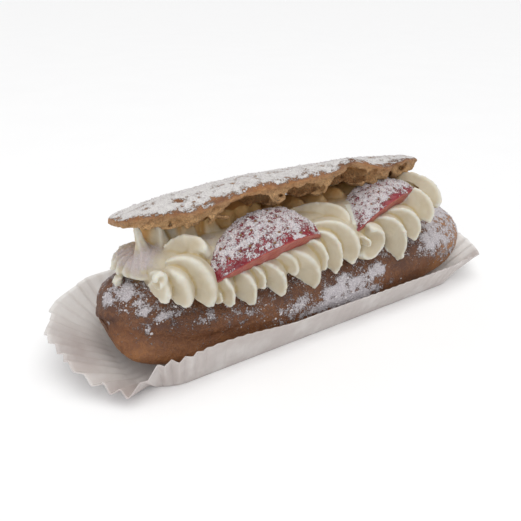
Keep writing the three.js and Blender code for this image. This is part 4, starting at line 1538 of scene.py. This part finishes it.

# %% [markdown]
# Whipped cream is soft white. Painted shade makes its folds darker and yellower, a painted highlight makes
# its rims whiter, and a painted warm shade turns it golden under the baked cap, standing in for light
# thrown back from the crumb. The mesh is compared with a smoothed copy of itself: what stands out is a rim
# and what lies back is a fold, so the painted shade and highlight follow the shape. Under a thin veil of
# sugar the clump looks grey and matt.

# %% Cream folds and dust
CREAM_DUST = [
    # where it is, its middle, how far it reaches, how thick it lies
    ("clump", (-54.0, -1.0, 32.0), (9.0, 14.0, 7.0), 0.75),
    ("between the clump and the first wedge", (-37.0, -12.0, 36.0), (5.0, 8.0, 7.0), 0.42),
    ("behind the first wedge", (-2.0, -6.0, 36.0), (12.0, 7.0, 6.0), 0.4),
]
CEILING = 44.0
PAINTED_SHADE_WARMTH = 0.9
FINE_RIDGES = {"rounds": 30, "height": 0.5, "share": 0.6}
BROAD_RIDGES = {"rounds": 90, "height": 1.1, "share": 0.5}
CREAM_RELIEF = {"rough": 0.12, "dusty": 0.22, "ragged": 0.7, "rays": 0.5}
BACK_DUST = 0.2


def ridges_of(piece, rounds):
    """How far each point stands out from the same skin smoothed down, in mm."""
    smoothed = bpy.data.objects.new("smoothed", piece.data.copy())
    bpy.context.scene.collection.objects.link(smoothed)
    softened(smoothed, rounds)
    stands = ((points_of(piece) - points_of(smoothed)) * normals_of(piece)).sum(1)
    bpy.data.objects.remove(smoothed)
    return stands


def star_rays(points):
    """Ridges that the star nozzle left on the clump, running out from its middle."""
    aside, ahead = ((points[:, k] - START["middle"][k]) / START["reach"][k] for k in range(2))
    away = np.hypot(aside, ahead)
    ridge = np.abs(np.cos(START_FOLDS["count"] / 2 * np.arctan2(aside, ahead))) - 0.6
    level = smoothstep(points[:, 2], 28.0, 30.0) * (1 - smoothstep(points[:, 2], 31.5, 34.5))
    return ridge * smoothstep(away, 0.2, 0.6) * (1 - smoothstep(away, 0.85, 1.05)) * level


def under_cap(points):
    """1 in the warm shade close under the cap, fading to 0 at the front, the back and the right end."""
    x, y, z = points.T
    ceiling = CEILING + (y - CAP_CENTRE[1]) * math.tan(CAP_TILT) - CAP["crumb"]
    forward = 3.5 * smoothstep(x, -46.0, -43.0)
    shaded = smoothstep(z - ceiling, -8.0, -1.0) * smoothstep(y + forward, -5.5, -3.0)
    return shaded * (1 - smoothstep(y, 5.0, 10.0)) * (1 - smoothstep(x, 36.0, 44.0))


def dress_cream(piece):
    points, normals = points_of(piece), normals_of(piece)
    stands = ridges_of(piece, FINE_RIDGES["rounds"])
    broad = ridges_of(piece, BROAD_RIDGES["rounds"])
    ridge = 0.5 + FINE_RIDGES["share"] * stands / FINE_RIDGES["height"]
    ridge = ridge + BROAD_RIDGES["share"] * broad / BROAD_RIDGES["height"]
    # the ridge number places the painted fold shade and the painted rim highlight
    store(piece, "ridge", np.clip(ridge, 0, 1))
    # painted warm shade: under the cap the cream turns golden, standing in for light thrown back from the
    # crumb; no sugar falls there
    painted_shade_under_cap = under_cap(points)
    store(piece, "painted_shade_under_cap", PAINTED_SHADE_WARMTH * painted_shade_under_cap)
    thick = BACK_DUST * smoothstep(points[:, 1], -14.0, -6.0)
    for _, centre, reach, amount in CREAM_DUST:
        thick = np.maximum(thick, amount * reach_of(points, centre, reach))
    thick = (thick + 0.15 * thick * rough_noise(points, 4.0, 95, 3)) * smoothstep(normals[:, 2], -0.3, 0.4)
    store(piece, "sugar", np.clip(thick * (1 - painted_shade_under_cap), 0, 1))
    ragged = CREAM_RELIEF["ragged"] * smoothstep(stands, 0.05, 0.3) * rough_noise(points, 1.3, 93, 2)
    rough = (CREAM_RELIEF["rough"] + CREAM_RELIEF["dusty"] * thick) * rough_noise(points, 1.6, 91, 2)
    raise_skin(piece, rough + ragged + CREAM_RELIEF["rays"] * star_rays(points))
    return stands


rims = dress_cream(cream)
print("the sharpest rim stands", round(float(rims.max()), 2), "mm out")


# %% Cream finish
CREAM_GRAIN = {"cloud": 6.0, "fine": 0.7, "depth": 0.1}
CREAM_GLOSS = 0.6
CREAM_LIGHT = (0.3, (2.0, 1.4, 0.8))
CREAM_WHITES = (shade(199, 188, 165), shade(190, 177, 151))
CREAM_IN_PAINTED_FOLD_SHADE = shade(184, 163, 120)
CREAM_PAINTED_RIM_HIGHLIGHT = shade(216, 213, 201)
CREAM_IN_PAINTED_WARM_SHADE = shade(230, 186, 116)


def cream_finish():
    finish, tree, shader = new_finish("whipped_cream")
    place = place_of(tree)
    cloud = grain(tree, place, CREAM_GRAIN["cloud"], 3.0)
    fine = grain(tree, place, CREAM_GRAIN["fine"], 3.0)
    colour = blended(tree, eased(tree, cloud, 0.35, 0.7), *CREAM_WHITES)
    ridge = stored(tree, "ridge")
    # painted shade in the folds and a painted highlight on the rims
    colour = blended(tree, eased(tree, ridge, 0.05, 0.45), CREAM_IN_PAINTED_FOLD_SHADE, colour)
    colour = blended(tree, eased(tree, ridge, 0.55, 1.05), colour, CREAM_PAINTED_RIM_HIGHLIGHT)
    # painted warm shade under the cap
    colour = blended(tree, stored(tree, "painted_shade_under_cap"), colour, CREAM_IN_PAINTED_WARM_SHADE)
    relief = (fine, CREAM_GRAIN["depth"])
    dusted(tree, shader, place, colour, CREAM_GLOSS, relief, THIN_VEIL, VEIL_CONTRAST)
    let_light_in(shader, *CREAM_LIGHT)
    return finish


give_finish(cream, cream_finish())
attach(cream, "root")
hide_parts("piped_cream")
print("cream replaces its solid")

# %% [markdown]
# ## Loose sugar
# Where sugar lies thick it cakes into small lumps. They are scattered by weight: a face gets more of
# them the larger it is and the thicker its sugar. Each is a dented many-sided lump pressed into what it
# lies on, and all of them together are one piece of real mesh.

# %% Scattering by weight
BARE_BELOW = 0.12


def scatter(piece, count, rng):
    """Places and normals on a piece, chosen by face area and stored sugar."""
    mesh = piece.data
    mesh.calc_loop_triangles()
    corners = np.empty(3 * len(mesh.loop_triangles), np.int32)
    mesh.loop_triangles.foreach_get("vertices", corners)
    corners = corners.reshape(-1, 3)
    points, normals = points_of(piece), normals_of(piece)
    thick = np.empty(len(mesh.vertices), np.float32)
    mesh.attributes["sugar"].data.foreach_get("value", thick)
    first, second, third = (points[corners[:, k]] for k in range(3))
    area = np.linalg.norm(np.cross(second - first, third - first), axis=1)
    weight = area * np.maximum(0, thick[corners].mean(1) - BARE_BELOW)
    chosen = rng.choice(len(corners), count, p=weight / weight.sum())
    mix = rng.dirichlet((1, 1, 1), count)
    place = np.einsum("nk,nkj->nj", mix, points[corners[chosen]])
    normal = np.einsum("nk,nkj->nj", mix, normals[corners[chosen]])
    return place, normal / np.linalg.norm(normal, axis=1)[:, None]


print("sugar thinner than", BARE_BELOW, "of the thickest holds no lumps")

# %% Sugar lumps
LUMPS = [
    # what they lie on, how many
    (bun, 5000),
    (cap, 2000),
    (wedges["strawberry_left"], 1100),
    (wedges["strawberry_right"], 1100),
]
LUMP = {"size": 0.14, "spread": 0.4, "smallest": 0.06, "largest": 0.4, "out": 0.2, "seed": 101}
LUMP_WHITES = (shade(204, 198, 201), shade(226, 222, 221))
LUMP_GRAIN = {"size": 0.3, "depth": 0.1}


def build_sugar():
    rng = np.random.default_rng(LUMP["seed"])
    corners, triangles = lump_mesh(1)
    scattered = [scatter(piece, count, rng) for piece, count in LUMPS]
    places, normals = (np.vstack(parts) for parts in zip(*scattered))
    count = len(places)
    size = np.exp(rng.normal(math.log(LUMP["size"]), LUMP["spread"], count))
    size = np.clip(size, LUMP["smallest"], LUMP["largest"])
    frames = frames_from(normals, rng.normal(size=(count, 3)))
    wide, high = rng.uniform(0.8, 1.4, (count, 2)), rng.uniform(0.6, 0.9, count)
    sizes = size[:, None] * np.column_stack([wide, high])
    jitter = rng.uniform(0.75, 1.25, (count, len(corners)))
    centres = places + normals * (LUMP["out"] * size)[:, None]
    return many_lumps("icing_sugar_lumps", centres, frames, sizes, corners, triangles, jitter)


def sugar_finish():
    finish, tree, shader = new_finish("icing_sugar")
    place = place_of(tree)
    speck = grain(tree, place, LUMP_GRAIN["size"], 2.0)
    colour = blended(tree, eased(tree, speck, 0.3, 0.7), *LUMP_WHITES)
    fill(tree, shader.inputs["Base Color"], colour)
    fill(tree, shader.inputs["Normal"], bumped(tree, speck, LUMP_GRAIN["depth"]))
    shader.inputs["Roughness"].default_value = 0.95
    return finish


sugar = smooth_shaded(build_sugar())
give_finish(sugar, sugar_finish())
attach(sugar, "root")
print("sugar lumps:", triangles_of(sugar), "triangles")

# %% [markdown]
# ## Floor, light and camera
# The table is plain and pale. Wide daylight comes down on the eclair from above and a little from the
# front, so the cap's top and the rims of the cream are bright and the bun's lower front lies in soft
# shade; a weaker light from the left front keeps that shade open. The camera looks down from the left
# front.


# %% Floor
TABLE_REACH = 9000.0
TABLE_GAP = 0.05
TABLE_CORNERS = ((-1, -1), (1, -1), (1, 1), (-1, 1))
TABLE_WHITES = (shade(252, 252, 252), shade(255, 255, 255))
TABLE_CLOUD = 60.0


def build_floor():
    corners = [[x * TABLE_REACH, y * TABLE_REACH, -TABLE_GAP] for x, y in TABLE_CORNERS]
    floor = new_piece("pale_floor", corners, [[0, 1, 2, 3]])
    finish, tree, shader = new_finish("pale_table")
    cloud = grain(tree, place_of(tree), TABLE_CLOUD, 2.0)
    fill(tree, shader.inputs["Base Color"], blended(tree, cloud, *TABLE_WHITES))
    shader.inputs["Roughness"].default_value = 0.9
    give_finish(floor, finish)


build_floor()
print("the table reaches", TABLE_REACH / 1000, "m each way")

# %% Light
DAYLIGHT = {"towards": (-0.08, 0.14, -0.9), "strength": 1.3, "spread": 60.0, "colour": (1.0, 0.985, 0.96)}
FILL = {"place": (-500.0, -500.0, 500.0), "aim": (0.0, 0.0, 20.0), "size": 600.0, "watts": 1.2}
COOL_WHITE = (0.97, 0.98, 1.0)
ROOM_STRENGTH = 0.58


def turned_towards(direction):
    return Vector(direction).to_track_quat("-Z", "Y").to_euler()


def add_to_scene(name, data):
    holder = bpy.data.objects.new(name, data)
    bpy.context.scene.collection.objects.link(holder)
    return holder


daylight = add_to_scene("daylight", bpy.data.lights.new("daylight", "SUN"))
daylight.rotation_euler = turned_towards(DAYLIGHT["towards"])
daylight.data.energy = DAYLIGHT["strength"]
daylight.data.angle = math.radians(DAYLIGHT["spread"])
daylight.data.color = DAYLIGHT["colour"]

front_fill = add_to_scene("front_fill", bpy.data.lights.new("front_fill", "AREA"))
front_fill.location = Vector(FILL["place"]) * MILLIMETRE
front_fill.rotation_euler = turned_towards(Vector(FILL["aim"]) - Vector(FILL["place"]))
front_fill.data.shape = "DISK"
front_fill.data.size = FILL["size"] * MILLIMETRE
front_fill.data.energy = FILL["watts"]
front_fill.data.color = COOL_WHITE

room = bpy.data.worlds.new("room")
room.use_nodes = True
room.node_tree.nodes["Background"].inputs["Color"].default_value = (*COOL_WHITE, 1.0)
room.node_tree.nodes["Background"].inputs["Strength"].default_value = ROOM_STRENGTH
bpy.context.scene.world = room
bpy.context.scene.view_settings.view_transform = "Standard"
print("lights:", daylight.name, front_fill.name, room.name)

# %% Camera
CAMERA = {"place": (-92.98, -130.77, 98.94), "aim": (4.24, 27.89, 0.0), "lens": 35.45, "sensor": 36.0}
NEAREST = 10.0

camera = add_to_scene("camera", bpy.data.cameras.new("camera"))
camera.location = Vector(CAMERA["place"]) * MILLIMETRE
camera.rotation_euler = turned_towards(Vector(CAMERA["aim"]) - Vector(CAMERA["place"]))
camera.data.sensor_width = CAMERA["sensor"]
camera.data.lens = CAMERA["lens"]
camera.data.clip_start = NEAREST * MILLIMETRE
bpy.context.scene.camera = camera
print("camera at", [round(v, 4) for v in camera.location])
